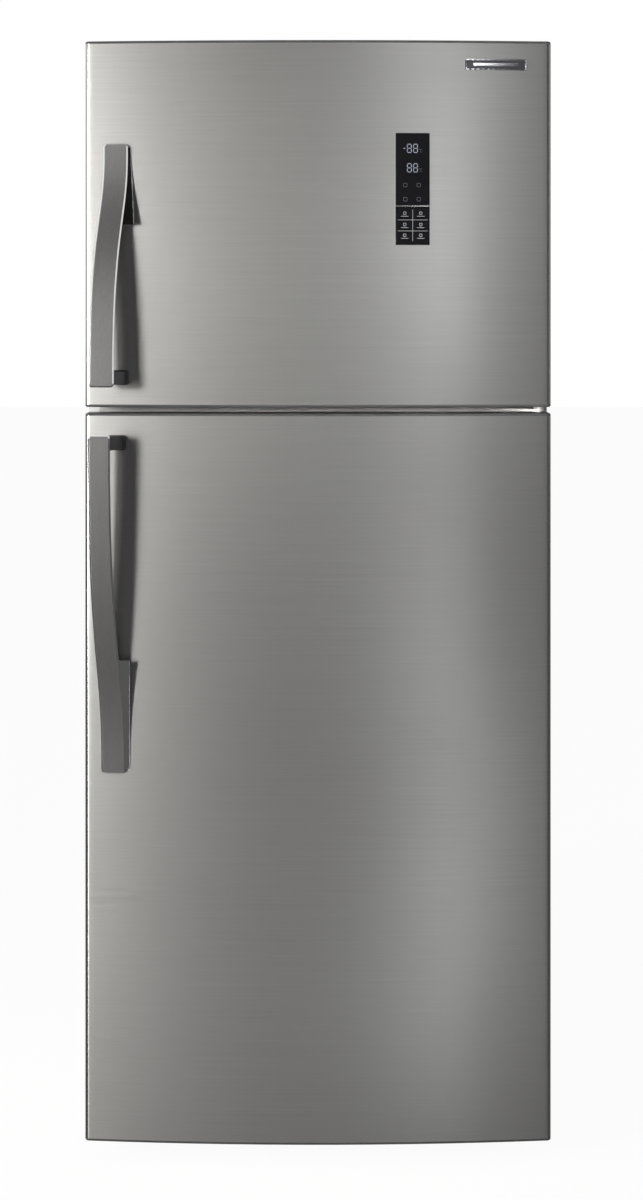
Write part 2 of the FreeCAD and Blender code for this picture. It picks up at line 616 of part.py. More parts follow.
def interior_lamps():
    """Lamp covers on the ceilings of both compartments."""
    made = []
    for x, top in ((0.0, FRIDGE_Z[1] - LINER), (150.0, FREEZER_Z[1] - LINER)):
        lamp = box(x - 55, x + 55, -90, -40, top - 9, top - 0.1)
        made.append(rounded(lamp, 4, lambda e: e.BoundBox.ZMax < top - 1))
    return made


# ---- Doors -------------------------------------------------------------------------------------------------
ARC_R = HALF ** 2 / (2 * DOOR_BULGE) + DOOR_BULGE / 2
ARC_CENTRE_Y = DOOR_EDGE_FRONT - DOOR_BULGE + ARC_R


def door_front_y(x):
    """Y of a door's curved front at a given X."""
    return ARC_CENTRE_Y - math.sqrt(ARC_R ** 2 - x ** 2)


def door_prism(inset, z0, z1, rear=DOOR_REAR):
    """Door outline with a bowed front, moved in by inset (out where it is negative), between heights."""
    half, radius = HALF - inset, ARC_R - inset
    edge_y = ARC_CENTRE_Y - math.sqrt(radius ** 2 - half ** 2)
    corners = [V(-half, rear, z0), V(-half, edge_y, z0), V(half, edge_y, z0), V(half, rear, z0)]
    bow = Part.Arc(corners[1], V(0, ARC_CENTRE_Y - radius, z0), corners[2]).toShape()
    sides = [Part.makeLine(corners[0], corners[1]), bow, Part.makeLine(corners[2], corners[3]),
             Part.makeLine(corners[3], corners[0])]
    solid = Part.Face(Part.Wire(sides)).extrude(V(0, 0, z1 - z0))
    return rounded(solid, max(DOOR_CORNER_R - inset, 0.5),
                   lambda e: runs_along("z")(e) and e.Vertexes[0].Y < DOOR_EDGE_FRONT + 20)


def door_skin(z0, z1):
    """Formed sheet: bowed front and both sides in one piece."""
    low, high = z0 + CAP, z1 - CAP
    return door_prism(0, low, high).cut(door_prism(DOOR_SKIN, low - 1, high + 1, DOOR_REAR + 5))


def door_cap(z0, z1, top, lip=False):
    """End cap: a rounded plate that shows, and a plug inside the sheet with the pin's bore.

    With a lip, the plate steps down behind its front, to leave room for the top hinge.
    """
    inset, rear = DOOR_SKIN + 0.2, DOOR_REAR - INNER_PANEL
    if top:
        plate, outside = door_prism(0, z1 - CAP, z1), z1
        plug = door_prism(inset, z1 - CAP - CAP_PLUG, z1 - CAP + 0.5, rear)
    else:
        plate, outside = door_prism(0, z0, z0 + CAP), z0
        plug = door_prism(inset, z0 + CAP - 0.5, z0 + CAP + CAP_PLUG, rear)
    plate = rounded(plate, CAP_ROUND, lambda e: e.BoundBox.ZLength < 1e-6
                    and abs(e.BoundBox.ZMin - outside) < 1e-6 and e.BoundBox.YMin < DOOR_REAR - 0.1)
    tools = [rod(PIN_R + PIN_PLAY, (HINGE_X, HINGE_Y, outside - 15), (HINGE_X, HINGE_Y, outside + 15))]
    if lip:
        tools.append(box(-HALF - 5, HALF + 5, LIP_REAR, DOOR_REAR + 5, z1 - LIP_STEP, z1 + 5))
    return cut(fuse([plate, plug]), tools)


def door_foam(z0, z1, dyke):
    """Foam core: a slab behind the sheet and four blocks inside the ring of the inner panel."""
    low, high = z0 + CAP + CAP_PLUG, z1 - CAP - CAP_PLUG
    slab = door_prism(DOOR_SKIN, low, high, DOOR_REAR - INNER_PANEL)
    y0, y1 = DOOR_REAR - INNER_PANEL, DOOR_REAR + DYKE_REACH - INNER_PANEL
    reach, wall, skin = DYKE_HALF, DYKE_WALL, INNER_PANEL
    d0, d1 = dyke
    blocks = [slab]
    for side in (-1, 1):
        x0, x1 = sorted((side * (reach - skin), side * (reach - wall + skin)))
        blocks.append(box(x0, x1, y0, y1, d0 + skin, d1 - skin))
    inner = reach - wall + skin
    blocks.append(box(-inner, inner, y0, y1, d0 + skin, d0 + wall - skin))
    blocks.append(box(-inner, inner, y0, y1, d1 - wall + skin, d1 - skin))
    return blocks


def door_liner(z0, z1, dyke):
    """Formed inner panel: a flat sheet with a hollow ring that enters the compartment."""
    reach, wall, skin = DYKE_HALF, DYKE_WALL, INNER_PANEL
    d0, d1 = dyke
    side = HALF - DOOR_SKIN - 0.2
    sheet = box(-side, side, DOOR_REAR - skin, DOOR_REAR, z0 + CAP, z1 - CAP)
    ring = box(-reach, reach, DOOR_REAR - skin, DOOR_REAR + DYKE_REACH, d0, d1)
    hole = box(wall - reach, reach - wall, DOOR_REAR, DOOR_REAR + DYKE_REACH + 1, d0 + wall, d1 - wall)
    ring = rounded(ring.cut(hole), 5, lambda e: e.BoundBox.YMin > DOOR_REAR + DYKE_REACH - 0.1)
    deep = DOOR_REAR + DYKE_REACH
    hollow = box(skin - reach, reach - skin, DOOR_REAR - skin - 1, deep - skin, d0 + skin, d1 - skin)
    hollow = hollow.cut(box(wall - skin - reach, reach - wall + skin, DOOR_REAR - 9, deep,
                            d0 + wall - skin, d1 - wall + skin))
    return fuse([sheet, ring]).cut(hollow)


GASKET_OUT, GASKET_WIDE, GASKET_DEEP = 328.0, 16.0, 11.4
UPPER_SEAL = (1146.0, 1636.0)
LOWER_SEAL = (62.0, 1107.0)


def door_gasket(seal):
    """Magnetic seal: a soft frame with a waist between its foot and its magnet tube."""
    z0, z1 = seal
    reach = GASKET_OUT

    def frame(inset, y0, y1):
        outer = box(inset - reach, reach - inset, y0, y1, z0 + inset, z1 - inset)
        far = GASKET_WIDE - inset
        return outer.cut(box(far - reach, reach - far, y0 - 1, y1 + 1, z0 + far, z1 - far))

    foot_end, tube_start = DOOR_REAR + 3.6, DOOR_REAR + GASKET_DEEP - 4.4
    tube = rounded(frame(0, tube_start, DOOR_REAR + GASKET_DEEP), 1.6,
                   lambda e: e.BoundBox.YLength < 1e-6 and e.BoundBox.YMin > tube_start + 1)
    return fuse([frame(1, DOOR_REAR, foot_end), frame(4, foot_end - 0.1, tube_start + 0.1), tube])


# ---- Handles -----------------------------------------------------------------------------------------------
def bezier(points):
    """Bezier edge through the plane of its control points."""
    curve = Part.BezierCurve()
    curve.setPoles(points)
    return curve.toShape()


def along_grip(handle):
    """Function that gives the height of a share of the grip's length, from its base end to its free end."""
    base_z, free_z = handle[:2]
    return lambda share: base_z + share * (free_z - base_z)


def handle_outline(handle):
    """Front view of the grip as a solid: a band that runs sideways in one smooth S."""
    z_at, plane = along_grip(handle), -420
    base_left, base_right, free_left, free_right = handle[2:6]
    edges = []
    for near, far in ((base_left, free_left), (base_right, free_right)):
        edges.append(Part.makeLine(V(near, plane, z_at(0)), V(near, plane, z_at(0.06))))
        edges.append(bezier([V(near, plane, z_at(0.06)), V(near, plane, z_at(0.30)),
                             V(far, plane, z_at(0.36)), V(far, plane, z_at(0.92))]))
        edges.append(Part.makeLine(V(far, plane, z_at(0.92)), V(far, plane, z_at(1))))
    edges.append(Part.makeLine(V(base_left, plane, z_at(0)), V(base_right, plane, z_at(0))))
    edges.append(Part.makeLine(V(free_left, plane, z_at(1)), V(free_right, plane, z_at(1))))
    return Part.Face(Part.Wire(Part.__sortEdges__(edges))).extrude(V(0, 140, 0))


def grip_corners(handle):
    """Tools that round the four corners of the grip in front view."""
    base_z, free_z, base_left, base_right, free_left, free_right = handle[:6]
    way = 1 if free_z > base_z else -1
    r, tools = GRIP_CORNER_R, []
    ends = ((base_z, base_left, base_right, way), (free_z, free_left, free_right, -way))
    for z, left, right, inward in ends:
        for x, side in ((left, 1), (right, -1)):
            centre_x, centre_z = x + side * r, z + inward * r
            x0, x1 = sorted((x - side, centre_x))
            z0, z1 = sorted((z - inward, centre_z))
            corner = rod(r, (centre_x, -430, centre_z), (centre_x, -270, centre_z))
            tools.append(box(x0, x1, -425, -275, z0, z1).cut(corner))
    return tools


def rise_curve(handle, ends, back=0.0):
    """Side view of one face of the grip: low at the base, standing free at the far end."""
    z_at, (low, high) = along_grip(handle), ends
    shape = [(-0.05, low), (0, low), (0.36, low), (0.36, high + 5), (1, high), (1.05, high)]
    points = [V(-420, y + back, z_at(share)) for share, y in shape]
    return [Part.makeLine(points[0], points[1]), bezier(points[1:5]), Part.makeLine(points[4], points[5])]


def between(near, far):
    """Everything between two faces of the grip, as wide as needed."""
    starts = Part.makeLine(near[0].Vertexes[0].Point, far[0].Vertexes[0].Point)
    ends = Part.makeLine(near[2].Vertexes[1].Point, far[2].Vertexes[1].Point)
    return Part.Face(Part.Wire(Part.__sortEdges__(near + [ends] + far + [starts]))).extrude(V(200, 0, 0))


def handle_face(handle):
    """Front cover of the grip."""
    front, seat = rise_curve(handle, GRIP_FRONT), rise_curve(handle, GRIP_FRONT, GRIP_FACE)
    return cut(handle_outline(handle).common(between(front, seat)), grip_corners(handle))


def handle_base(handle, door):
    """Solid end that fills the space between the grip and the door, wider than the grip on its right."""
    z_at = along_grip(handle)
    left, right_outer, right_inner = handle[2] + 4, handle[6], handle[7]
    corners = [V(left, -420, z_at(0.012)), V(right_outer, -420, z_at(0.012)),
               V(right_inner, -420, z_at(BASE_SHARE)), V(left - 2, -420, z_at(BASE_SHARE + 0.04))]
    block = Part.Face(Part.makePolygon(corners + corners[:1])).extrude(V(0, 140, 0))
    behind_grip = between(rise_curve(handle, GRIP_BACK, -0.2), rise_curve(handle, GRIP_BACK, 60))
    return block.common(behind_grip).cut(door)


def handle_body(handle, door):
    """Body of the handle: the back of the grip, the base that lies on the door and the leaning end post."""
    free_z, base_right, free_left, free_right = handle[1], *handle[3:6]
    way = 1 if free_z > handle[0] else -1
    seat, back = rise_curve(handle, GRIP_FRONT, GRIP_FACE), rise_curve(handle, GRIP_BACK)
    band = cut(handle_outline(handle).common(between(seat, back)), grip_corners(handle))

    post_z0, post_z1 = sorted((free_z - way * 3, free_z - way * 24))

    def ring(x0, x1, y, margin):
        corners = [V(x0, y, post_z0 + margin), V(x1, y, post_z0 + margin), V(x1, y, post_z1 - margin),
                   V(x0, y, post_z1 - margin)]
        return Part.makePolygon(corners + corners[:1])

    post = Part.makeLoft([ring(free_left + 5, free_right - 2, GRIP_BACK[1] - 2, 0),
                          ring(free_right - 4, base_right - 2, -315.5, 1.5)], True, True)
    pad = rounded(box(free_right - 8, base_right + 1.5, -317.5, -300, post_z0 - 0.5, post_z1 + 0.5), 4,
                  runs_along("y"))
    return fuse([band, handle_base(handle, door), post, pad.cut(door)])


# ---- Door fittings -----------------------------------------------------------------------------------------
DISPLAY_X = (116.3, 166.9)
DISPLAY_Z = (1432.9, 1540.9)
KEYPAD_Z = (1373.6, 1430.7)
PANEL_PROUD, PANEL_DEEP = 0.8, 8.0
BADGE_X, BADGE_Z = (220.3, 313.0), (1635.5, 1652.5)


def display_panel():
    """Two glass tiles that follow the bow of the door: the display and the touch keys below it."""
    low, high = UPPER_DOOR
    behind = door_prism(PANEL_DEEP, low - 1, high + 1, DOOR_REAR + 5)
    layer_solid = door_prism(-PANEL_PROUD, low, high).cut(behind)
    tiles = []
    for z0, z1 in (DISPLAY_Z, KEYPAD_Z):
        tile = rounded(box(*DISPLAY_X, -340, -300, z0, z1), 1.5, runs_along("y"))
        tiles.append(tile.common(layer_solid))
    return tiles


def display_pocket():
    """Hole for the display in the sheet and the foam."""
    play = 0.3
    return box(DISPLAY_X[0] - play, DISPLAY_X[1] + play, -340, door_front_y(140) + PANEL_DEEP + 2,
               KEYPAD_Z[0] - play, DISPLAY_Z[1] + play)


def badge():
    """Plain badge bar on the door, with no lettering."""
    low, high = UPPER_DOOR
    layer_solid = door_prism(-2.4, low, high).cut(door_prism(-0.05, low - 1, high + 1, DOOR_REAR + 5))
    return rounded(box(*BADGE_X, -345, -300, *BADGE_Z), 2.5, runs_along("y")).common(layer_solid)


BIN_HALF = DYKE_HALF - DYKE_WALL - 4


def door_bin(z0, z1, rear):
    """Door shelf: a tub that hangs between the side walls of the inner panel's ring."""
    return tub(-BIN_HALF, BIN_HALF, DOOR_REAR + 1, rear, z0, z1, 2.6, 16)


UPPER_BINS = ((1222.0, 1290.0, -166.0), (1400.0, 1468.0, -166.0))
LOWER_BINS = ((146.0, 262.0, -150.0), (400.0, 478.0, -152.0), (628.0, 706.0, -152.0), (850.0, 918.0, -160.0))


# ---- Assembly ----------------------------------------------------------------------------------------------
def build_cabinet():
    save("side_panel_left", side_panel(-1))
    save("side_panel_right", side_panel(1))
    save("top_panel", top_panel())
    save("back_panel", back_panel())
    save("cabinet_insulation", *cabinet_insulation())
    save("freezer_liner", freezer_liner())
    save("fridge_liner", fridge_liner())
    save("mullion_rail", mullion_rail())
    save("base_frame", *base_frame())
    save("foot_left", foot(-1))
    save("foot_right", foot(1))
    save("roller_left", roller(-1))
    save("roller_right", roller(1))
    save("roller_axles", *roller_axles())
    save("compressor", compressor())
    save("compressor_mounts", *compressor_mounts())
    save("drain_pan", drain_pan())
    save("compressor_cover", compressor_cover())
    save("cord_gland", cord_gland())
    save("toe_grille", toe_grille())
    save("top_hinge", top_hinge())
    save("top_hinge_cover", top_hinge_cover())
    save("middle_hinge", middle_hinge())
    save("bottom_hinge", bottom_hinge())
    save("cabinet_screws", *cabinet_screws())


def build_interior():
    save("evaporator", evaporator())
    save("evaporator_cover", evaporator_cover())
    save("evaporator_fan", evaporator_fan())
    save("fan_motor", fan_motor())
    save("air_duct", air_duct())
    save("shelf_glass", *[glass_plate(z, SHELF_REAR) for z in FRIDGE_SHELVES])
    save("shelf_trims", *shelf_trims())
    save("crisper_cover", crisper_cover())
    save("freezer_shelf", freezer_shelf())
    save("crisper_drawer", drawer(*CRISPER))
    save("chiller_drawer", drawer(*CHILLER))
    save("ice_box", drawer(*ICE_BOX))
    save("interior_lamps", *interior_lamps())


def build_door(name, span, dyke, seal, handle, bins, pocket=None):
    """All the pieces of one door."""
    pockets = [pocket] if pocket else []
    save(f"{name}_door_skin", cut(door_skin(*span), pockets))
    save(f"{name}_door_caps", door_cap(*span, True, lip=name == "freezer"), door_cap(*span, False))
    slab, *blocks = door_foam(*span, dyke)
    save(f"{name}_door_foam", cut(slab, pockets), *blocks)
    save(f"{name}_door_liner", door_liner(*span, dyke))
    save(f"{name}_door_gasket", door_gasket(seal))
    clear_of_door = door_prism(-0.2, span[0], span[1])
    save(f"{name}_handle_body", handle_body(handle, clear_of_door))
    save(f"{name}_handle_face", handle_face(handle))
    save(f"{name}_door_bins", *[door_bin(*one) for one in bins])


def main():
    os.makedirs("parts", exist_ok=True)
    build_cabinet()
    build_interior()
    build_door("freezer", UPPER_DOOR, UPPER_DYKE, UPPER_SEAL, UPPER_HANDLE, UPPER_BINS, display_pocket())
    build_door("fridge", LOWER_DOOR, LOWER_DYKE, LOWER_SEAL, LOWER_HANDLE, LOWER_BINS)
    save("display_panel", *display_panel())
    save("badge", badge())


main()
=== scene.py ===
"""Top freezer refrigerator: the finished look of every part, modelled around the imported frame."""

import contextlib
import math

import bmesh
import bpy
from bpy.props import FloatProperty, FloatVectorProperty, IntProperty, PointerProperty
from bpy.types import Operator, Panel, PropertyGroup
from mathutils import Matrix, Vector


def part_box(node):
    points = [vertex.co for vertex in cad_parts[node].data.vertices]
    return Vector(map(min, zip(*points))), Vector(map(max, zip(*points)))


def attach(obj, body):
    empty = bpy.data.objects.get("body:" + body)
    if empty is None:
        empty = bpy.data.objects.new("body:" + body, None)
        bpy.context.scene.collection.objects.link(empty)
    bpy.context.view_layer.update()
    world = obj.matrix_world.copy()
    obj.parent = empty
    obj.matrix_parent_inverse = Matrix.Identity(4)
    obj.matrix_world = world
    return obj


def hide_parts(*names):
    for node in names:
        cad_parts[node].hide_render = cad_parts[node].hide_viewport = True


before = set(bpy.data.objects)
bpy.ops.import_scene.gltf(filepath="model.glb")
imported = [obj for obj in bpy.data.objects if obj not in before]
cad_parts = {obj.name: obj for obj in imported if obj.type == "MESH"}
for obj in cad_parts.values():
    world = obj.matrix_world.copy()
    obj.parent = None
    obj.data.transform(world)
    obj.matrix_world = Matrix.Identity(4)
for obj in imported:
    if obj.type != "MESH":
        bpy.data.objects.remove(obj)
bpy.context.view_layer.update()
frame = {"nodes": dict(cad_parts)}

bl_info = {
    "name": "Top Freezer Refrigerator",
    "version": (1, 0, 0),
    "blender": (4, 5, 0),
    "location": "View3D > Sidebar > Refrigerator",
    "description": "Models and finishes the visible parts of a two-door refrigerator",
    "category": "Object",
}

# Door shell, in metres
HALF_WIDTH = 0.350
BOW_RADIUS = 3.0725
BOW_CENTRE_Y = 2.7455
DOOR_REAR = -0.252
SHEET_THICKNESS = 0.0012
SHEETS = {"freezer": (1.1345, 1.676), "fridge": (0.032, 1.1175)}
POCKET_X, POCKET_Z = (0.1160, 0.1672), (1.3733, 1.5412)

# Door fittings
DISPLAY_X, DISPLAY_Z, KEYPAD_Z = (0.1163, 0.1669), (1.4329, 1.5409), (1.3736, 1.4307)
TILE_PROUD, TILE_DEPTH = 0.0008, 0.0075
BADGE_X, BADGE_Z, BADGE_PROUD = (0.2203, 0.3130), (1.6355, 1.6525), 0.0024

# Handles: heights of the base end and the free end, left and right edges at both,
# then the right side of the base at its outer and inner end
GRIPS = {
    "freezer": (1.525, 1.1615, -0.3218, -0.2850, -0.3395, -0.3025, -0.2810, -0.2750),
    "fridge": (0.583, 1.091, -0.3246, -0.2889, -0.3406, -0.3082, -0.2823, -0.2816),
}
GRIP_FRONT, GRIP_BACK = (-0.3198, -0.365), (-0.3144, -0.353)


# Modelling helpers
def select_only(*pieces):
    """Selects these pieces and nothing else, the last one active."""
    bpy.ops.object.select_all(action="DESELECT")
    for piece in pieces:
        piece.select_set(True)
        bpy.context.view_layer.objects.active = piece


@contextlib.contextmanager
def editing(piece):
    """Edit mode on one piece."""
    select_only(piece)
    bpy.ops.object.mode_set(mode="EDIT")
    yield
    bpy.ops.object.mode_set(mode="OBJECT")


def settle(name, scale):
    """Names the primitive just added, gives it its size and writes its place into its mesh."""
    piece = bpy.context.active_object
    piece.name = piece.data.name = name
    piece.scale = scale
    select_only(piece)
    bpy.ops.object.transform_apply(location=True, rotation=True, scale=True)
    return piece


def add_block(name, low, high):
    """Block between two corners, to be shaped further."""
    bpy.ops.object.select_all(action="DESELECT")
    bpy.ops.mesh.primitive_cube_add(size=1, location=[(a + b) / 2 for a, b in zip(low, high)])
    return settle(name, [b - a for a, b in zip(low, high)])


def add_upright_plane(name, x0, x1, y, z0, z1, columns=1, rows=1):
    """Grid that faces the front, between two X and two Z."""
    bpy.ops.object.select_all(action="DESELECT")
    bpy.ops.mesh.primitive_grid_add(x_subdivisions=columns, y_subdivisions=rows, size=1,
                                    location=((x0 + x1) / 2, y, (z0 + z1) / 2), rotation=(math.pi / 2, 0, 0))
    return settle(name, (x1 - x0, z1 - z0, 1))


def pick(kind, wanted):
    """Selects the vertices, edges or faces that pass a test."""
    mesh = bpy.context.edit_object.data
    bpy.ops.mesh.select_mode(type=kind)
    bpy.ops.mesh.select_all(action="DESELECT")
    cage = bmesh.from_edit_mesh(mesh)
    parts = {"VERT": cage.verts, "EDGE": cage.edges, "FACE": cage.faces}[kind]
    chosen = [part for part in parts if wanted(part)]
    for part in chosen:
        part.select_set(True)
    cage.select_flush_mode()
    bmesh.update_edit_mesh(mesh)
    if not chosen:
        raise RuntimeError(f"{mesh.name} has nothing to select here")


def middle(part):
    """Middle point of a vertex, edge or face."""
    if isinstance(part, bmesh.types.BMVert):
        return part.co
    if isinstance(part, bmesh.types.BMEdge):
        return (part.verts[0].co + part.verts[1].co) / 2
    return part.calc_center_median()


def near(a, b, gap=1e-4):
    return abs(a - b) < gap


def along(edge, axis):
    """Whether an edge runs along an axis: 0, 1 or 2."""
    span = edge.verts[1].co - edge.verts[0].co
    return abs(span[axis]) > 0.999 * span.length


def is_fold(edge, angle=40):
    """Whether the two faces of an edge meet at a clear angle."""
    return len(edge.link_faces) == 2 and edge.calc_face_angle(0) > math.radians(angle)


def move(x=0, y=0, z=0):
    bpy.ops.transform.translate(value=(x, y, z))


def stretch(x=1, y=1, z=1, about=(0, 0, 0)):
    bpy.ops.transform.resize(value=(x, y, z), center_override=about)


def extrude(x=0, y=0, z=0):
    bpy.ops.mesh.extrude_region_move(TRANSFORM_OT_translate={"value": (x, y, z)})


def bevel(width, segments=2):
    bpy.ops.mesh.bevel(offset=width, segments=segments, affect="EDGES", clamp_overlap=True)


def round_folds(piece, width, segments=2, wanted=lambda edge: True):
    """Bevels each sharp fold of a piece that passes the test."""
    with editing(piece):
        pick("EDGE", lambda edge: is_fold(edge) and wanted(edge))
        bevel(width, segments)


def face_outwards(piece):
    """Merges doubled vertices and turns every face outwards."""
    with editing(piece):
        bpy.ops.mesh.select_all(action="SELECT")
        bpy.ops.mesh.remove_doubles(threshold=1e-6)
        bpy.ops.mesh.normals_make_consistent(inside=False)


def apply_modifier(piece, kind, **settings):
    select_only(piece)
    modifier = piece.modifiers.new(kind.title(), kind)
    for name, value in settings.items():
        setattr(modifier, name, value)
    bpy.ops.object.modifier_apply(modifier=modifier.name)


def smooth(piece, angle=35):
    """Smooth shading with crisp folds, and flats that stay flat up to their rounded edges."""
    select_only(piece)
    bpy.ops.object.shade_smooth_by_angle(angle=math.radians(angle))
    apply_modifier(piece, "WEIGHTED_NORMAL", keep_sharp=True)


def copied(piece, name, x=0, y=0, z=0):
    """Copy with its own mesh, moved."""
    select_only(piece)
    bpy.ops.object.duplicate(linked=False)
    copy = bpy.context.active_object
    copy.name = copy.data.name = name
    copy.location = (x, y, z)
    bpy.ops.object.transform_apply(location=True, rotation=False, scale=False)
    return copy


def joined(name, pieces):
    """Several shells as one piece."""
    select_only(*pieces)
    bpy.ops.object.join()
    piece = bpy.context.active_object
    piece.name = piece.data.name = name
    return piece


def dress(piece, body, slot, material, *nodes):
    """Gives a piece its material and its body, and hides the CAD nodes that it stands for; the slot is not used."""
    piece.data.materials.clear()
    piece.data.materials.append(material)
    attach(piece, body)
    if nodes:
        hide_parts(*nodes)


def bow_y(x, proud=0.0):
    """Y of the doors' bowed front."""
    return BOW_CENTRE_Y - math.sqrt((BOW_RADIUS + proud) ** 2 - x ** 2)


def add_bowed_strip(name, x0, x1, z0, z1, proud, steps, wall_rear=None):
    """Upright strip that follows the bow, with a side wall at each end if wall_rear is given."""
    rear = wall_rear if wall_rear is not None else bow_y(x0, proud) + 0.005
    front = bow_y(x0, proud)
    bpy.ops.object.select_all(action="DESELECT")
    bpy.ops.mesh.primitive_plane_add(size=1, location=(x0, (front + rear) / 2, (z0 + z1) / 2),
                                     rotation=(0, math.pi / 2, 0))
    piece = settle(name, (z1 - z0, rear - front, 1))
    radius = BOW_RADIUS + proud
    turn = math.asin(x1 / radius) - math.asin(x0 / radius)
    with editing(piece):
        pick("EDGE", lambda e: along(e, 2) and near(middle(e).y, front))
        bpy.ops.mesh.spin(steps=steps, dupli=False, angle=-turn, center=(0, BOW_CENTRE_Y, 0), axis=(0, 0, 1))
        if wall_rear is None:
            pick("FACE", lambda f: abs(f.normal.x) > 0.9)
            bpy.ops.mesh.delete(type="FACE")
        else:
            pick("EDGE", lambda e: along(e, 2) and near(middle(e).x, x1))
            extrude(y=wall_rear - bow_y(x1, proud))
    return piece


def add_bowed_tile(name, x0, x1, z0, z1, proud, depth, steps):
    """Closed plate whose front and back follow the bow."""
    piece = add_bowed_strip(name, x0, x1, z0, z1, proud, steps)
    with editing(piece):
        bpy.ops.mesh.select_all(action="SELECT")
        extrude(y=depth)
    face_outwards(piece)
    return piece


# Materials
def add_node(tree, kind, inputs=None, **settings):
    """Node with its settings, and its sockets linked or set."""
    made = tree.nodes.new(kind)
    for name, value in settings.items():
        setattr(made, name, value)
    for key, value in (inputs or {}).items():
        if isinstance(value, bpy.types.NodeSocket):
            tree.links.new(value, made.inputs[key])
        else:
            made.inputs[key].default_value = value
    return made


def add_noise(tree, vector, scale, detail, roughness=0.5):
    """Noise value over the piece."""
    return add_node(tree, "ShaderNodeTexNoise", {"Vector": vector, "Scale": scale, "Detail": detail,
                                                 "Roughness": roughness}).outputs["Fac"]


def calculate(tree, operation, first, second, use_clamp=False):
    """Result of a sum on two values or sockets."""
    return add_node(tree, "ShaderNodeMath", {0: first, 1: second}, operation=operation,
                    use_clamp=use_clamp).outputs[0]


def scale_vector(tree, vector, scale):
    """A vector times a scale for each axis."""
    return add_node(tree, "ShaderNodeVectorMath", {0: vector, 1: scale}, operation="MULTIPLY").outputs[0]


def remap(tree, value, start, end, low, high, **settings):
    """A value moved from one range to another."""
    return add_node(tree, "ShaderNodeMapRange", {0: value, 1: start, 2: end, 3: low, 4: high},
                    **settings).outputs[0]


def new_group(name, inputs, outputs):
    """Shader node group with named sockets: each is (name, kind, default)."""
    tree = bpy.data.node_groups.new(name, "ShaderNodeTree")
    for label, kind, default in inputs:
        socket = tree.interface.new_socket(label, in_out="INPUT", socket_type=kind)
        if default is not None:
            socket.default_value = default
    for label, kind in outputs:
        tree.interface.new_socket(label, in_out="OUTPUT", socket_type=kind)
    return tree, tree.nodes.new("NodeGroupInput"), tree.nodes.new("NodeGroupOutput")


NUMBER, VECTOR, COLOUR = "NodeSocketFloat", "NodeSocketVector", "NodeSocketColor"


def brush_group():
    """Fine parallel lines of a brushed metal, with slow unevenness over them."""
    tree, given, result = new_group(
        "Brush Lines",
        [("Vector", VECTOR, None), ("Line Scale", VECTOR, (6, 60, 1400)), ("Patch Scale", NUMBER, 3.0)],
        [("Lines", NUMBER), ("Patches", NUMBER)])
    here = given.outputs["Vector"]
    lines = add_noise(tree, scale_vector(tree, here, given.outputs["Line Scale"]), 1.0, 4.0, 0.65)
    patches = add_noise(tree, here, given.outputs["Patch Scale"], 2.0)
    tree.links.new(lines, result.inputs["Lines"])
    tree.links.new(patches, result.inputs["Patches"])
    return tree


def grain_group():
    """Skin of a moulded or painted surface: fine grain, slow waves and faint mottling."""
    tree, given, result = new_group(
        "Surface Grain", [("Vector", VECTOR, None), ("Grain Scale", NUMBER, 900.0), ("Wave Scale", NUMBER, 14.0),
                          ("Wave Share", NUMBER, 0.4)],
        [("Height", NUMBER), ("Mottle", NUMBER)])
    here = given.outputs["Vector"]
    grain = add_noise(tree, here, given.outputs["Grain Scale"], 2.0)
    wave = add_noise(tree, here, given.outputs["Wave Scale"], 3.0)
    height = add_node(tree, "ShaderNodeMix", {0: given.outputs["Wave Share"], 2: grain, 3: wave})
    tree.links.new(height.outputs[0], result.inputs["Height"])
    tree.links.new(wave, result.inputs["Mottle"])
    return tree


def dust_group():
    """Dust that settles on surfaces that face up, thicker in patches."""
    tree, given, result = new_group(
        "Settled Dust", [("Vector", VECTOR, None), ("Amount", NUMBER, 0.3), ("Patch Scale", NUMBER, 22.0)],
        [("Mask", NUMBER)])
    normal = add_node(tree, "ShaderNodeNewGeometry").outputs["Normal"]
    up = remap(tree, add_node(tree, "ShaderNodeSeparateXYZ", {0: normal}).outputs["Z"], 0.3, 1.0, 0.0, 1.0)
    patches = add_noise(tree, given.outputs["Vector"], given.outputs["Patch Scale"], 5.0)
    both = calculate(tree, "MULTIPLY", up, patches)
    amount = calculate(tree, "MULTIPLY", both, given.outputs["Amount"], True)
    tree.links.new(amount, result.inputs["Mask"])
    return tree


def scuff_group():
    """Short fine scratches, scattered and broken up."""
    tree, given, result = new_group(
        "Fine Scuffs", [("Vector", VECTOR, None), ("Scale", VECTOR, (30, 30, 260)), ("Amount", NUMBER, 0.3)],
        [("Mask", NUMBER)])
    marks = add_noise(tree, scale_vector(tree, given.outputs["Vector"], given.outputs["Scale"]), 1.0, 6.0, 0.7)
    amount = calculate(tree, "MULTIPLY", remap(tree, marks, 0.62, 0.72, 0.0, 1.0), given.outputs["Amount"], True)
    tree.links.new(amount, result.inputs["Mask"])
    return tree


EFFECTS = {}
MATERIALS = {}


def effect(tree, name, inputs):
    """One of the shared effects, placed in a material."""
    return add_node(tree, "ShaderNodeGroup", inputs, node_tree=EFFECTS[name])


def start_material(name):
    """Empty material with its shader, output and the piece's own coordinates."""
    material = bpy.data.materials.new(f"{name}_finish")
    material.use_nodes = True
    tree = material.node_tree
    tree.nodes.clear()
    shader = tree.nodes.new("ShaderNodeBsdfPrincipled")
    output = tree.nodes.new("ShaderNodeOutputMaterial")
    tree.links.new(shader.outputs[0], output.inputs["Surface"])
    here = tree.nodes.new("ShaderNodeTexCoord").outputs["Object"]
    return material, tree, shader, here


def blend_colours(tree, share, first, second):
    """Colour between two colours: each is a socket or an RGB triple."""
    given = {0: share}
    for index, colour in ((6, first), (7, second)):
        given[index] = colour if isinstance(colour, bpy.types.NodeSocket) else (*colour, 1.0)
    return add_node(tree, "ShaderNodeMix", given, data_type="RGBA").outputs[2]


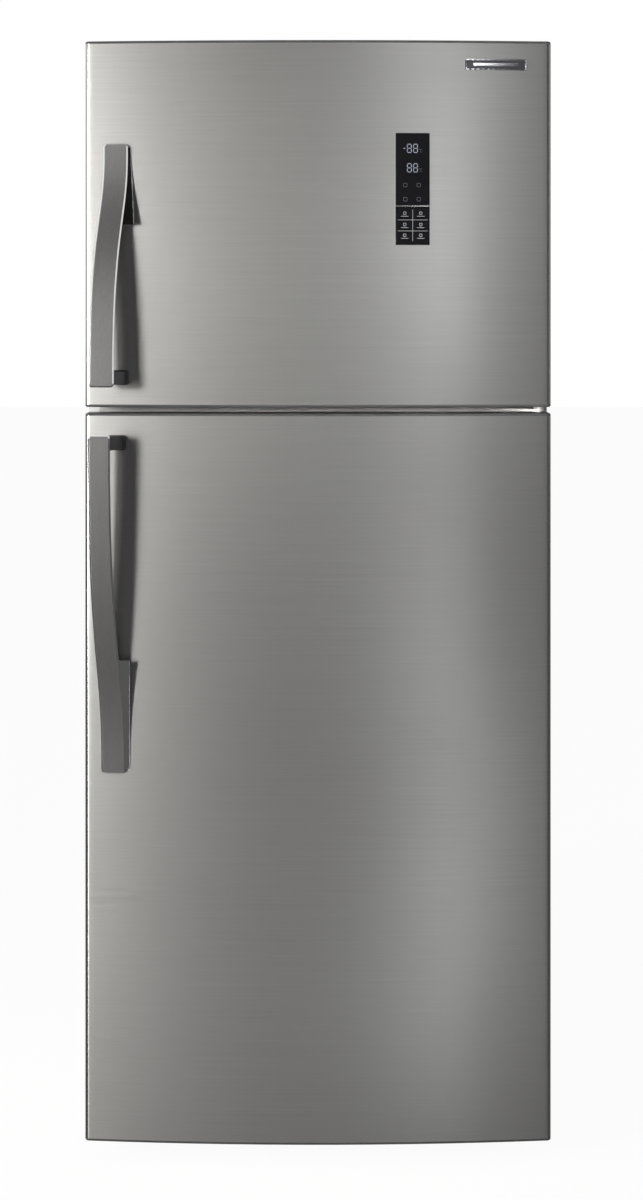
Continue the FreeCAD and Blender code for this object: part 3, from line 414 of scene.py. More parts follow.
def spread(tree, value, low, high):
    """Maps a noise value to a range."""
    return remap(tree, value, 0.3, 0.7, low, high)


def set_bump(tree, shader, height, strength, distance):
    bump = add_node(tree, "ShaderNodeBump", {"Height": height, "Strength": strength, "Distance": distance})
    tree.links.new(bump.outputs[0], shader.inputs["Normal"])


def moulded(name, light, dark, roughness, metallic=0.0, grain=(900.0, 14.0, 0.4), bump=(0.25, 0.0002), dust=0.0,
            scuffs=0.0, coat=0.0, specular=0.5, subsurface=0.0):
    """Paint, plastic, rubber or plain metal with grain, mottling, scuffs and dust."""
    material, tree, shader, here = start_material(name)
    skin = effect(tree, "grain", {"Vector": here, "Grain Scale": grain[0], "Wave Scale": grain[1],
                                  "Wave Share": grain[2]})
    colour = blend_colours(tree, spread(tree, skin.outputs["Mottle"], 0, 1), light, dark)
    rough = spread(tree, skin.outputs["Mottle"], roughness - 0.05, roughness + 0.06)
    if scuffs:
        marks = effect(tree, "scuffs", {"Vector": here, "Amount": scuffs})
        worn = [min(1.0, part * 1.25 + 0.04) for part in light]
        colour = blend_colours(tree, marks.outputs["Mask"], colour, worn)
        rough = calculate(tree, "ADD", rough, marks.outputs["Mask"], True)
    if dust:
        settled = effect(tree, "dust", {"Vector": here, "Amount": dust})
        colour = blend_colours(tree, settled.outputs["Mask"], colour, (0.62, 0.60, 0.56))
        rough = calculate(tree, "MAXIMUM", rough, settled.outputs["Mask"])
    tree.links.new(colour, shader.inputs["Base Color"])
    tree.links.new(rough, shader.inputs["Roughness"])
    shader.inputs["Metallic"].default_value = metallic
    shader.inputs["Coat Weight"].default_value = coat
    shader.inputs["Coat Roughness"].default_value = 0.12
    shader.inputs["Specular IOR Level"].default_value = specular
    if subsurface:
        shader.inputs["Subsurface Weight"].default_value = subsurface
        shader.inputs["Subsurface Scale"].default_value = 0.004
    set_bump(tree, shader, skin.outputs["Height"], *bump)
    MATERIALS[name] = material


def brushed(name, light, dark, roughness, line_scale, bump, anisotropy=0.0, turn=0.0, scuffs=0.0,
            spread_rough=0.05, metallic=1.0):
    """Brushed metal: the lines run along the axis with the smallest line scale."""
    material, tree, shader, here = start_material(name)
    brush = effect(tree, "brush", {"Vector": here, "Line Scale": line_scale})
    lines, patches = brush.outputs["Lines"], brush.outputs["Patches"]
    colour = blend_colours(tree, spread(tree, lines, 0, 1), light, dark)
    hue = [part * 0.97 for part in light]
    colour = blend_colours(tree, spread(tree, patches, 0, 0.5), colour, hue)
    rough = spread(tree, lines, roughness - spread_rough, roughness + spread_rough)
    if scuffs:
        marks = effect(tree, "scuffs", {"Vector": here, "Amount": scuffs, "Scale": (12, 12, 420)})
        rough = calculate(tree, "ADD", rough, marks.outputs["Mask"], True)
    tree.links.new(colour, shader.inputs["Base Color"])
    tree.links.new(rough, shader.inputs["Roughness"])
    shader.inputs["Metallic"].default_value = metallic
    shader.inputs["Anisotropic"].default_value = anisotropy
    shader.inputs["Anisotropic Rotation"].default_value = turn
    set_bump(tree, shader, lines, *bump)
    MATERIALS[name] = material


def glassy(name, tint, roughness, waves=20.0):
    """Clear glass or plastic with faint smears and flow lines."""
    material, tree, shader, here = start_material(name)
    skin = effect(tree, "grain", {"Vector": here, "Grain Scale": 240.0, "Wave Scale": waves, "Wave Share": 0.7})
    colour = blend_colours(tree, spread(tree, skin.outputs["Mottle"], 0, 1), tint, [part * 0.97 for part in tint])
    rough = spread(tree, skin.outputs["Mottle"], roughness, roughness + 0.05)
    tree.links.new(colour, shader.inputs["Base Color"])
    tree.links.new(rough, shader.inputs["Roughness"])
    shader.inputs["Transmission Weight"].default_value = 1.0
    shader.inputs["IOR"].default_value = 1.5
    set_bump(tree, shader, skin.outputs["Height"], 0.08, 0.0003)
    MATERIALS[name] = material


def glowing(name, colour, strength):
    """Lit segments whose glow varies a little in small random patches."""
    material, tree, shader, here = start_material(name)
    skin = effect(tree, "grain", {"Vector": here, "Grain Scale": 1200.0, "Wave Scale": 260.0, "Wave Share": 0.8})
    dim = [part * 0.72 for part in colour]
    lit = blend_colours(tree, spread(tree, skin.outputs["Mottle"], 0, 1), colour, dim)
    tree.links.new(lit, shader.inputs["Emission Color"])
    tree.links.new(blend_colours(tree, skin.outputs["Mottle"], (0.02, 0.02, 0.02), (0.05, 0.05, 0.05)),
                   shader.inputs["Base Color"])
    shader.inputs["Emission Strength"].default_value = strength
    shader.inputs["Roughness"].default_value = 0.3
    MATERIALS[name] = material


def make_materials(looks):
    """Every finish of the refrigerator."""
    EFFECTS.update(brush=brush_group(), grain=grain_group(), dust=dust_group(), scuffs=scuff_group())
    steel = tuple(looks.steel_colour)
    paint = tuple(looks.cabinet_colour)
    brushed("door_steel", steel, [part * 0.88 for part in steel], looks.steel_roughness, (5, 60, 1500),
            (0.10, 0.00012), anisotropy=0.5, turn=0.25, scuffs=0.03)
    brushed("door_fold", steel, [part * 0.9 for part in steel], 0.20, (5, 60, 1500), (0.05, 0.0001), scuffs=0.03)
    brushed("handle_satin", (0.42, 0.415, 0.407), (0.35, 0.346, 0.34), 0.36, (700, 700, 90), (0.18, 0.0001),
            scuffs=0.05)
    brushed("handle_chrome", (0.86, 0.865, 0.87), (0.80, 0.805, 0.81), 0.09, (40, 40, 60), (0.02, 0.0001),
            spread_rough=0.03, scuffs=0.05)
    # Near-black back of the handles: partly a dark moulded back, partly painted shade behind the handle
    moulded("handle_dark_back_and_shade", (0.030, 0.030, 0.031), (0.022, 0.022, 0.023), 0.35, grain=(1300.0, 30.0, 0.3),
            bump=(0.3, 0.0002), scuffs=0.05)
    brushed("badge_plate", (0.80, 0.80, 0.81), (0.70, 0.70, 0.71), 0.16, (8, 60, 1800), (0.06, 0.0001))
    brushed("badge_field", (0.055, 0.055, 0.06), (0.04, 0.04, 0.045), 0.30, (8, 60, 1800), (0.06, 0.0001),
            metallic=0.6)
    brushed("hinge_steel", (0.42, 0.415, 0.405), (0.30, 0.295, 0.29), 0.34, (50, 400, 400), (0.10, 0.0001),
            scuffs=0.15)
    brushed("coil_aluminium", (0.78, 0.79, 0.80), (0.66, 0.67, 0.68), 0.30, (300, 40, 30), (0.12, 0.0002))
    brushed("galvanised_steel", (0.60, 0.61, 0.62), (0.46, 0.47, 0.48), 0.38, (28, 28, 26), (0.10, 0.0002),
            scuffs=0.1)
    moulded("painted_sheet", paint, [part * 0.94 for part in paint], 0.36, grain=(1500.0, 60.0, 0.35),
            bump=(0.22, 0.00025), dust=0.12, coat=0.15)
    moulded("back_sheet", (0.60, 0.60, 0.59), (0.52, 0.52, 0.51), 0.45, metallic=0.55, grain=(900.0, 9.0, 0.7),
            bump=(0.25, 0.0006), scuffs=0.12)
    moulded("white_liner", (0.80, 0.81, 0.80), (0.76, 0.775, 0.77), 0.24, grain=(320.0, 9.0, 0.6),
            bump=(0.12, 0.0004), subsurface=0.08)
    moulded("insulation_foam", (0.80, 0.70, 0.42), (0.72, 0.60, 0.33), 0.85, grain=(420.0, 40.0, 0.5),
            bump=(0.7, 0.001))
    moulded("dark_plastic", (0.028, 0.028, 0.030), (0.020, 0.020, 0.022), 0.38, grain=(1300.0, 22.0, 0.3),
            bump=(0.35, 0.0002), dust=0.10, scuffs=0.08)
    moulded("grey_plastic", (0.36, 0.36, 0.355), (0.31, 0.31, 0.305), 0.42, grain=(1300.0, 22.0, 0.3),
            bump=(0.35, 0.0002), dust=0.08, scuffs=0.05)
    moulded("black_steel", (0.018, 0.018, 0.019), (0.012, 0.012, 0.013), 0.30, grain=(700.0, 30.0, 0.6),
            bump=(0.30, 0.0004), dust=0.45, scuffs=0.10)
    moulded("black_rubber", (0.022, 0.022, 0.022), (0.014, 0.014, 0.014), 0.68, grain=(1600.0, 40.0, 0.3),
            bump=(0.45, 0.0003), dust=0.25)
    moulded("lamp_cover", (0.82, 0.83, 0.80), (0.76, 0.77, 0.74), 0.20, grain=(180.0, 40.0, 0.6),
            bump=(0.30, 0.0006), subsurface=0.3)
    moulded("seal_vinyl", (0.40, 0.40, 0.395), (0.34, 0.34, 0.335), 0.50, grain=(1400.0, 30.0, 0.3),
            bump=(0.30, 0.0002), subsurface=0.1)
    moulded("cap_plastic", (0.055, 0.055, 0.056), (0.042, 0.042, 0.043), 0.34, grain=(1300.0, 22.0, 0.3),
            bump=(0.25, 0.0002), dust=0.06)
    moulded("white_wire", (0.80, 0.80, 0.78), (0.74, 0.74, 0.72), 0.30, grain=(700.0, 50.0, 0.4),
            bump=(0.25, 0.0003), coat=0.3)
    moulded("grille_white", (0.62, 0.62, 0.61), (0.56, 0.56, 0.55), 0.40, grain=(1300.0, 30.0, 0.3),
            bump=(0.30, 0.0002), dust=0.15)
    moulded("painted_rail", (0.34, 0.34, 0.336), (0.30, 0.30, 0.297), 0.42, grain=(1200.0, 40.0, 0.4),
            bump=(0.2, 0.0002))
    moulded("key_print", (0.34, 0.345, 0.35), (0.28, 0.285, 0.29), 0.45, grain=(1500.0, 90.0, 0.4),
            bump=(0.1, 0.0001))
    moulded("display_glass", (0.006, 0.006, 0.007), (0.004, 0.004, 0.005), 0.06, grain=(300.0, 14.0, 0.8),
            bump=(0.03, 0.0003), coat=0.10, specular=0.08)
    glassy("clear_plastic", (0.93, 0.96, 0.97), 0.06)
    glassy("shelf_glass", (0.86, 0.95, 0.92), 0.01, waves=6.0)
    glowing("digit_glow", (0.42, 0.50, 0.62), 0.90)
    glowing("icon_glow", (0.20, 0.24, 0.30), 0.10)


# Settings
class FinishSettings(PropertyGroup):
    """Colours and gloss of the outside."""
    steel_colour: FloatVectorProperty(name="Door steel", description="Colour of the brushed door sheets",
                                      subtype="COLOR", size=3, min=0, max=1, default=(0.60, 0.595, 0.58))
    steel_roughness: FloatProperty(name="Steel roughness", description="How softly the door sheets reflect",
                                   subtype="FACTOR", min=0, max=1, default=0.43)
    cabinet_colour: FloatVectorProperty(name="Cabinet paint", description="Colour of the painted cabinet",
                                        subtype="COLOR", size=3, min=0, max=1, default=(0.52, 0.52, 0.51))


class DoorSettings(PropertyGroup):
    """Sizes of the door sheets and their fittings."""
    corner_radius: FloatProperty(name="Corner radius", description="Bend between a door's front and its sides",
                                 unit="LENGTH", min=0.002, max=0.02, default=0.0063)
    bow_steps: IntProperty(name="Bow steps", description="Number of flats that make up the bowed front", min=8,
                           max=96, default=56)


class HandleSettings(PropertyGroup):
    """Sizes of the handles' edges."""
    corner_radius: FloatProperty(name="Corner radius", description="Roundness of a grip's four corners",
                                 unit="LENGTH", min=0.001, max=0.01, default=0.005)
    rim_width: FloatProperty(name="Rim width", description="Bright edge that shows around the grip's cover",
                             unit="LENGTH", min=0.0005, max=0.004, default=0.0021)
    rim_bevel: FloatProperty(name="Rim bevel", description="Slant of the bright edge", unit="LENGTH", min=0.0002,
                             max=0.003, default=0.0020)


class StageSettings(PropertyGroup):
    """Camera and studio."""
    camera_place: FloatVectorProperty(name="Camera place", description="Where the camera stands", subtype="XYZ",
                                      unit="LENGTH", size=3, default=(0.0, -4.027, 1.2688))
    lens: FloatProperty(name="Lens", description="Focal length in millimetres", min=20, max=200, default=74.29)
    shift: FloatVectorProperty(name="Lens shift", description="Sideways and upward shift of the lens", size=2,
                               default=(0.0029167, -0.2375))
    front_level: FloatProperty(name="Front level", description="Brightness of the studio in front of the doors",
                               min=0, max=2, default=0.006)
    side_level: FloatProperty(name="Side level", description="Brightness of the studio around the sides", min=0,
                              max=4, default=0.9)


# Doors
class FRIDGE_OT_door_sheets(Operator):
    """Form the brushed sheet of each door: bowed front, rounded sides, display opening"""
    bl_idname = "fridge.door_sheets"
    bl_label = "Door Sheets"

    def execute(self, context):
        sizes = context.scene.fridge_doors
        for door, (z0, z1) in SHEETS.items():
            piece = add_bowed_strip(f"{door}_door_sheet", -HALF_WIDTH, HALF_WIDTH, z0, z1, 0, sizes.bow_steps,
                                    wall_rear=DOOR_REAR)
            with editing(piece):
                pick("EDGE", lambda e: along(e, 2) and near(abs(middle(e).x), HALF_WIDTH)
                     and middle(e).y < DOOR_REAR - 0.01)
                bevel(sizes.corner_radius, 6)
            if door == "freezer":
                self.open_pocket(piece)
            face_outwards(piece)
            apply_modifier(piece, "SOLIDIFY", thickness=SHEET_THICKNESS, offset=-1)
            smooth(piece)
            dress(piece, f"{door}_door", "door_steel", MATERIALS["door_steel"], f"{door}_door_skin")
            piece.data.materials.append(MATERIALS["door_fold"])
            for face in piece.data.polygons:
                if abs(face.normal.x) > 0.25 and abs(face.center.x) > HALF_WIDTH - sizes.corner_radius:
                    face.material_index = 1
        return {"FINISHED"}

    def open_pocket(self, piece):
        """Cuts the display's opening in the front."""
        with editing(piece):
            for x in POCKET_X:
                bpy.ops.mesh.select_all(action="SELECT")
                bpy.ops.mesh.bisect(plane_co=(x, 0, 0), plane_no=(1, 0, 0))
            for z in POCKET_Z:
                pick("FACE", lambda f: POCKET_X[0] - 0.03 < middle(f).x < POCKET_X[1] + 0.03)
                bpy.ops.mesh.bisect(plane_co=(0, 0, z), plane_no=(0, 0, 1))
            pick("FACE", lambda f: POCKET_X[0] < middle(f).x < POCKET_X[1]
                 and POCKET_Z[0] < middle(f).z < POCKET_Z[1])
            bpy.ops.mesh.delete(type="FACE")


# Handles
def bezier(poles, share):
    """Value of a smooth curve, from four (share, value) poles, at a share of the length."""
    low, high = 0.0, 1.0
    for _ in range(30):
        t = (low + high) / 2
        weights = ((1 - t) ** 3, 3 * t * (1 - t) ** 2, 3 * t * t * (1 - t), t ** 3)
        reached = sum(w * s for w, (s, _) in zip(weights, poles))
        low, high = (t, high) if reached < share else (low, t)
    return sum(w * v for w, (_, v) in zip(weights, poles))


def grip_side(near_x, far_x, share):
    """X of one side edge of the grip at a share of its length."""
    if share <= 0.06:
        return near_x
    if share >= 0.92:
        return far_x
    return bezier(((0.06, near_x), (0.30, near_x), (0.36, far_x), (0.92, far_x)), share)


def grip_level(ends, share):
    """Y of the grip's front or back at a share of its length."""
    low, high = ends
    return bezier(((0, low), (0.36, low), (0.36, high + 0.005), (1, high)), min(max(share, 0), 1))


GRIP_ROWS = 44
GRIP_SET_BACK = 0.0009  # how far the rim lies behind the cover's front


def add_grip_band(name, grip, inset, front_offset, back):
    """Closed S-shaped band: back(share) gives the Y of its back."""
    base_z, free_z, base_left, base_right, free_left, free_right = grip[:6]
    way = 1 if free_z > base_z else -1
    z0, z1 = sorted((base_z + way * inset, free_z - way * inset))
    piece = add_upright_plane(name, base_left, base_right, -0.3, z0, z1, 1, GRIP_ROWS)
    levels = [z0 + (z1 - z0) * row / GRIP_ROWS for row in range(GRIP_ROWS + 1)]
    with editing(piece):
        for z in levels:
            share = (z - base_z) / (free_z - base_z)
            left = grip_side(base_left, free_left, share) + inset
            right = grip_side(base_right, free_right, share) - inset
            y = grip_level(GRIP_FRONT, share) + front_offset
            for start, end in ((base_left, left), (base_right, right)):
                pick("VERT", lambda v: near(v.co.z, z) and near(v.co.x, start) and near(v.co.y, -0.3))
                move(end - start, y + 0.3)
        bpy.ops.mesh.select_all(action="SELECT")
        extrude(y=0.001)
        for z in levels:
            share = (z - base_z) / (free_z - base_z)
            front = grip_level(GRIP_FRONT, share) + front_offset
            pick("VERT", lambda v: near(v.co.z, z) and near(v.co.y, front + 0.001))
            move(y=back(share) - front - 0.001)
    face_outwards(piece)
    return piece


class FRIDGE_OT_handles(Operator):
    """Shape both handles: bright body with base and post, satin cover in front"""
    bl_idname = "fridge.handles"
    bl_label = "Handles"

    def execute(self, context):
        sizes = context.scene.fridge_handles
        for door, grip in GRIPS.items():
            body = self.make_body(door, grip, sizes)
            dress(body, f"{door}_door", "handle_chrome", MATERIALS["handle_chrome"], f"{door}_handle_body")
            self.darken_back(body, grip)
            cover = self.make_cover(door, grip, sizes)
            dress(cover, f"{door}_door", "handle_satin", MATERIALS["handle_satin"], f"{door}_handle_face")
        return {"FINISHED"}

    def round_ends(self, piece, grip, inset, radius):
        """Rounds the band's four corners, seen from the front."""
        ends = grip[:2]
        with editing(piece):
            pick("EDGE", lambda e: along(e, 1) and min(abs(middle(e).z - z) for z in ends) < inset + 1e-4)
            bevel(radius, 6)

    def make_cover(self, door, grip, sizes):
        inset = sizes.rim_width
        piece = add_grip_band(f"{door}_handle_cover", grip, inset, 0,
                              lambda share: grip_level(GRIP_FRONT, share) + 0.0022)
        self.round_ends(piece, grip, inset, sizes.corner_radius - inset)
        round_folds(piece, 0.0004, 2, wanted=lambda e: max(f.normal.y for f in e.link_faces) < 0.5)
        smooth(piece, 50)
        return piece

    def make_body(self, door, grip, sizes):
        slant = sizes.rim_bevel
        band = add_grip_band(f"{door}_handle_grip", grip, 0, GRIP_SET_BACK + slant,
                             lambda share: grip_level(GRIP_BACK, share))
        self.round_ends(band, grip, 0, sizes.corner_radius)
        with editing(band):
            pick("FACE", lambda f: f.normal.y < -0.7)
            bpy.ops.mesh.inset(thickness=slant)
            move(y=-slant)
            pick("EDGE", lambda e: is_fold(e, 60) and max(f.normal.y for f in e.link_faces) > 0.6)
            bevel(0.0010, 2)
        shells = [band, self.make_base(grip), *self.make_post(grip)]
        piece = joined(f"{door}_handle_grip", shells)
        smooth(piece, 40)
        return piece

    def darken_back(self, piece, grip):
        """Gives the faces that look at the door, and the sides of the base and post, a near-black finish: partly a
        dark moulded back, partly painted shade that stands in for the shade behind the handle.
        """
        piece.data.materials.append(MATERIALS["handle_dark_back_and_shade"])
        for face in piece.data.polygons:
            share = (face.center.z - grip[0]) / (grip[1] - grip[0])
            if face.normal.y > 0.3 or face.center.y > grip_level(GRIP_BACK, share) + 0.001:
                face.material_index = 1

    def make_base(self, grip):
        """Solid end between the grip and the door: its inner end curves up to the grip's back."""
        base_z, free_z, left, right_outer, right_inner = grip[0], grip[1], grip[2] + 0.004, grip[6], grip[7]
        rows, last = 24, 0.335
        way = free_z - base_z
        z0, z1 = sorted((base_z + 0.012 * way, base_z + last * way))
        piece = add_upright_plane("base", left, right_outer, -0.3, z0, z1, 1, rows)
        levels = [z0 + (z1 - z0) * row / rows for row in range(rows + 1)]
        with editing(piece):
            for z in levels:
                share = (z - base_z) / way
                part = (share - 0.012) / (last - 0.012)
                right = right_outer + (right_inner - right_outer) * part
                y = grip_level(GRIP_BACK, share) - 0.0012
                for start, end in ((left, left - 0.002 * part), (right_outer, right)):
                    pick("VERT", lambda v: near(v.co.z, z) and near(v.co.x, start) and near(v.co.y, -0.3))
                    move(end - start, y + 0.3)
            bpy.ops.mesh.select_all(action="SELECT")
            extrude(y=0.0005)
            for z in levels:
                share = (z - base_z) / way
                front = grip_level(GRIP_BACK, share) - 0.0012
                run_out = min(max((share - 0.285) / (last - 0.285), 0), 1) ** 1.5
                door_y = bow_y(left) - 0.0001
                pick("VERT", lambda v: near(v.co.z, z) and near(v.co.y, front + 0.0005))
                move(y=door_y + (front + 0.0012 - door_y) * run_out - front - 0.0005)
        face_outwards(piece)
        round_folds(piece, 0.0012, 2)
        return piece

    def make_post(self, grip):
        """Leaning post at the free end, and its pad on the door."""
        base_z, free_z, base_right, free_left, free_right = grip[0], grip[1], grip[3], grip[4], grip[5]
        way = 1 if free_z > base_z else -1
        z0, z1 = sorted((free_z - way * 0.003, free_z - way * 0.024))
        x0, x1 = free_left + 0.005, free_right - 0.002
        post = add_block("post", (x0, -0.3545, z0), (x1, -0.3155, z1))
        to0, to1 = free_right - 0.004, base_right - 0.002
        with editing(post):
            pick("FACE", lambda f: f.normal.y > 0.9)
            move((to0 + to1 - x0 - x1) / 2)
            stretch((to1 - to0) / (x1 - x0), 1, 0.86, about=((to0 + to1) / 2, -0.3155, (z0 + z1) / 2))
            pick("FACE", lambda f: f.normal.y > -0.9)
            bpy.ops.mesh.subdivide(number_cuts=1)
        round_folds(post, 0.0018, 3)
        pad_x = (free_right - 0.008, base_right + 0.0015)
        rear = bow_y(pad_x[0]) - 0.0001
        pad = add_block("pad", (pad_x[0], -0.3175, z0 - 0.0005), (pad_x[1], rear, z1 + 0.0005))
        with editing(pad):
            pick("EDGE", lambda e: along(e, 1))
            bevel(0.004, 5)
            pick("FACE", lambda f: f.normal.y < -0.9)
            bpy.ops.mesh.inset(thickness=0.0009)
            move(y=-0.0006)
        return [post, pad]


# Display and badge
SEGMENTS = {"top": (0, 1, True), "middle": (0, 0, True), "bottom": (0, -1, True), "upper_left": (-1, 0.5, False),
            "upper_right": (1, 0.5, False), "lower_left": (-1, -0.5, False), "lower_right": (1, -0.5, False)}


class FRIDGE_OT_display(Operator):
    """Build the display: two glass tiles, lit digits, hidden icons and the touch keys"""
    bl_idname = "fridge.display"
    bl_label = "Display"

    def execute(self, context):
        tiles = []
        for label, (z0, z1) in (("upper", DISPLAY_Z), ("lower", KEYPAD_Z)):
            tile = add_bowed_tile(f"{label}_tile", *DISPLAY_X, z0, z1, TILE_PROUD, TILE_DEPTH, 12)
            with editing(tile):
                pick("EDGE", lambda e: along(e, 1))
                bevel(0.0015, 4)
                pick("EDGE", lambda e: is_fold(e) and middle(e).y < bow_y(middle(e).x, TILE_PROUD) + 0.0002)
                bevel(0.0004, 2)
            tiles.append(tile)
        glass = joined("display_tiles", tiles)
        smooth(glass)
        dress(glass, "freezer_door", "display_glass", MATERIALS["display_glass"], "display_panel")
        self.make_frame()
        self.make_digits()
        self.make_keys()
        return {"FINISHED"}

    def make_frame(self):
        """Steel plate behind the tiles, seen as the line between them."""
        plate = add_bowed_tile("display_frame", POCKET_X[0] - 0.002, POCKET_X[1] + 0.002, POCKET_Z[0] - 0.002,
                               POCKET_Z[1] + 0.002, -0.0012, 0.0030, 12)
        with editing(plate):
            pick("EDGE", lambda e: along(e, 1))
            bevel(0.0020, 3)
        smooth(plate)
        dress(plate, "freezer_door", "door_steel", MATERIALS["door_fold"])

    def add_mark(self, name, x0, x1, z0, z1, steps=1):
        """Thin print on the glass."""
        return add_bowed_tile(name, x0, x1, z0, z1, TILE_PROUD + 0.00006, 0.0003, steps)

    def add_segment(self, name, x, z, length, flat):
        """One lit bar with pointed ends."""
        half, width = length / 2, 0.00048
        wide, high = (half, width) if flat else (width, half)
        piece = self.add_mark(name, x - wide, x + wide, z - high, z + high)
        with editing(piece):
            pick("EDGE", lambda e: along(e, 1))
            bevel(width * 0.98, 1)
        return piece

    def add_digit(self, x, z, lit, width=0.0076, height=0.0140):
        """Seven-segment digit: lit names the segments that glow."""
        made = []
        for name in lit:
            across, up, flat = SEGMENTS[name]
            length = width - 0.0022 if flat else height / 2 - 0.0022
            made.append(self.add_segment(name, x + across * (width / 2 - 0.0008), z + up * (height / 2 - 0.0008),
                                         length, flat))
        return made

    def make_digits(self):
        """Two temperatures, one above the other."""
        segments = []
        every = list(SEGMENTS)
        rows = ((1.5180, (0.1366, 0.1458)), (1.4888, (0.1366, 0.1458)))
        for z, places in rows:
            for x in places:
                segments += self.add_digit(x, z, every)
        segments += self.add_digit(0.1292, rows[0][0], ["middle"], width=0.0054)
        piece = joined("display_digits", segments)
        face_outwards(piece)
        dress(piece, "freezer_door", "display_glass", MATERIALS["digit_glow"])
        marks = []
        for z, _ in rows:
            ring = self.add_mark("degree", 0.1514, 0.1526, z - 0.0018, z - 0.0006)
            letter = [self.add_mark("arc_back", 0.1532, 0.1537, z - 0.0058, z - 0.0010),
                      self.add_mark("arc_top", 0.1532, 0.1560, z - 0.0015, z - 0.0010),
                      self.add_mark("arc_low", 0.1532, 0.1560, z - 0.0058, z - 0.0053)]
            marks += [ring, *letter]
        for x, z in ((0.1306, 1.4631), (0.1506, 1.4631), (0.1306, 1.4419), (0.1506, 1.4419)):
            frame_mark = self.add_mark("icon", x - 0.0030, x + 0.0030, z - 0.0030, z + 0.0030)
            with editing(frame_mark):
                pick("EDGE", lambda e: along(e, 1))
                bevel(0.0014, 3)
                pick("FACE", lambda f: f.normal.y < -0.9)
                bpy.ops.mesh.inset(thickness=0.0006)
                bpy.ops.mesh.delete(type="FACE")
            marks.append(frame_mark)
        piece = joined("display_icons", marks)
        dress(piece, "freezer_door", "display_glass", MATERIALS["icon_glow"])

    def make_keys(self):
        """Printed grid of six touch keys with plain marks."""
        x0, x1 = 0.1190, 0.1642
        middle_x = (x0 + x1) / 2
        marks = [self.add_mark("upright", middle_x - 0.0002, middle_x + 0.0002, 1.3795, 1.4262)]
        for z in (1.4110, 1.3945):
            marks.append(self.add_mark("rule", x0, x1, z - 0.0002, z + 0.0002, 8))
        for x in (middle_x - 0.0120, middle_x + 0.0120):
            for z in (1.4200, 1.4030, 1.3870):
                marks.append(self.add_mark("dash", x - 0.0055, x + 0.0055, z - 0.0038, z - 0.0033, 3))
                key = self.add_mark("key", x - 0.0022, x + 0.0022, z - 0.0012, z + 0.0032)
                with editing(key):
                    pick("EDGE", lambda e: along(e, 1))
                    bevel(0.0012, 3)
                    pick("FACE", lambda f: f.normal.y < -0.9)
                    bpy.ops.mesh.inset(thickness=0.0005)
                    bpy.ops.mesh.delete(type="FACE")
                marks.append(key)
        piece = joined("key_marks", marks)
        dress(piece, "freezer_door", "display_glass", MATERIALS["key_print"])


class FRIDGE_OT_badge(Operator):
    """Fit the plain badge bar: bright rim around a dark field with a raised bar"""
    bl_idname = "fridge.badge"
    bl_label = "Badge"

    def execute(self, context):
        x0, x1 = BADGE_X
        z0, z1 = BADGE_Z
        rim = add_bowed_tile("badge_rim", x0, x1, z0, z1, BADGE_PROUD - 0.0004, BADGE_PROUD - 0.0005, 12)
        with editing(rim):
            pick("EDGE", lambda e: along(e, 1))
            bevel(0.0025, 5)
            pick("FACE", lambda f: f.normal.y < -0.9)
            bpy.ops.mesh.inset(thickness=0.0016)
            move(y=0.0009)
        round_folds(rim, 0.0003, 2, wanted=lambda e: middle(e).y < bow_y(middle(e).x, 0.0008))
        smooth(rim)
        dress(rim, "freezer_door", "badge_plate", MATERIALS["badge_plate"], "badge")
        field = add_bowed_tile("badge_field", x0 + 0.0020, x1 - 0.0020, z0 + 0.0020, z1 - 0.0020,
                               BADGE_PROUD - 0.0011, 0.0006, 12)
        round_folds(field, 0.0002, 2)
        smooth(field)
        dress(field, "freezer_door", "badge_plate", MATERIALS["badge_field"])
        bar = add_bowed_tile("badge_bar", x0 + 0.012, x1 - 0.012, z0 + 0.0060, z1 - 0.0060, BADGE_PROUD,
                             0.0012, 12)
        round_folds(bar, 0.0006, 3)
        smooth(bar)
        dress(bar, "freezer_door", "badge_plate", MATERIALS["badge_plate"])
        return {"FINISHED"}


# Seals and rear louvres
SEAL_WIDTH = 0.016
# Cross-section of a seal: distance behind the inner panel, then how far its outer and inner sides are drawn in
SEAL_PROFILE = ((0, 0.0010, 0.0010), (0.0016, 0.0010, 0.0010), (0.0026, 0.0045, 0.0030), (0.0042, 0.0022, 0.0022),
                (0.0056, 0.0048, 0.0035), (0.0068, 0.0010, 0.0010), (0.0074, 0, 0), (0.0106, 0, 0),
                (0.0114, 0.0012, 0.0012))


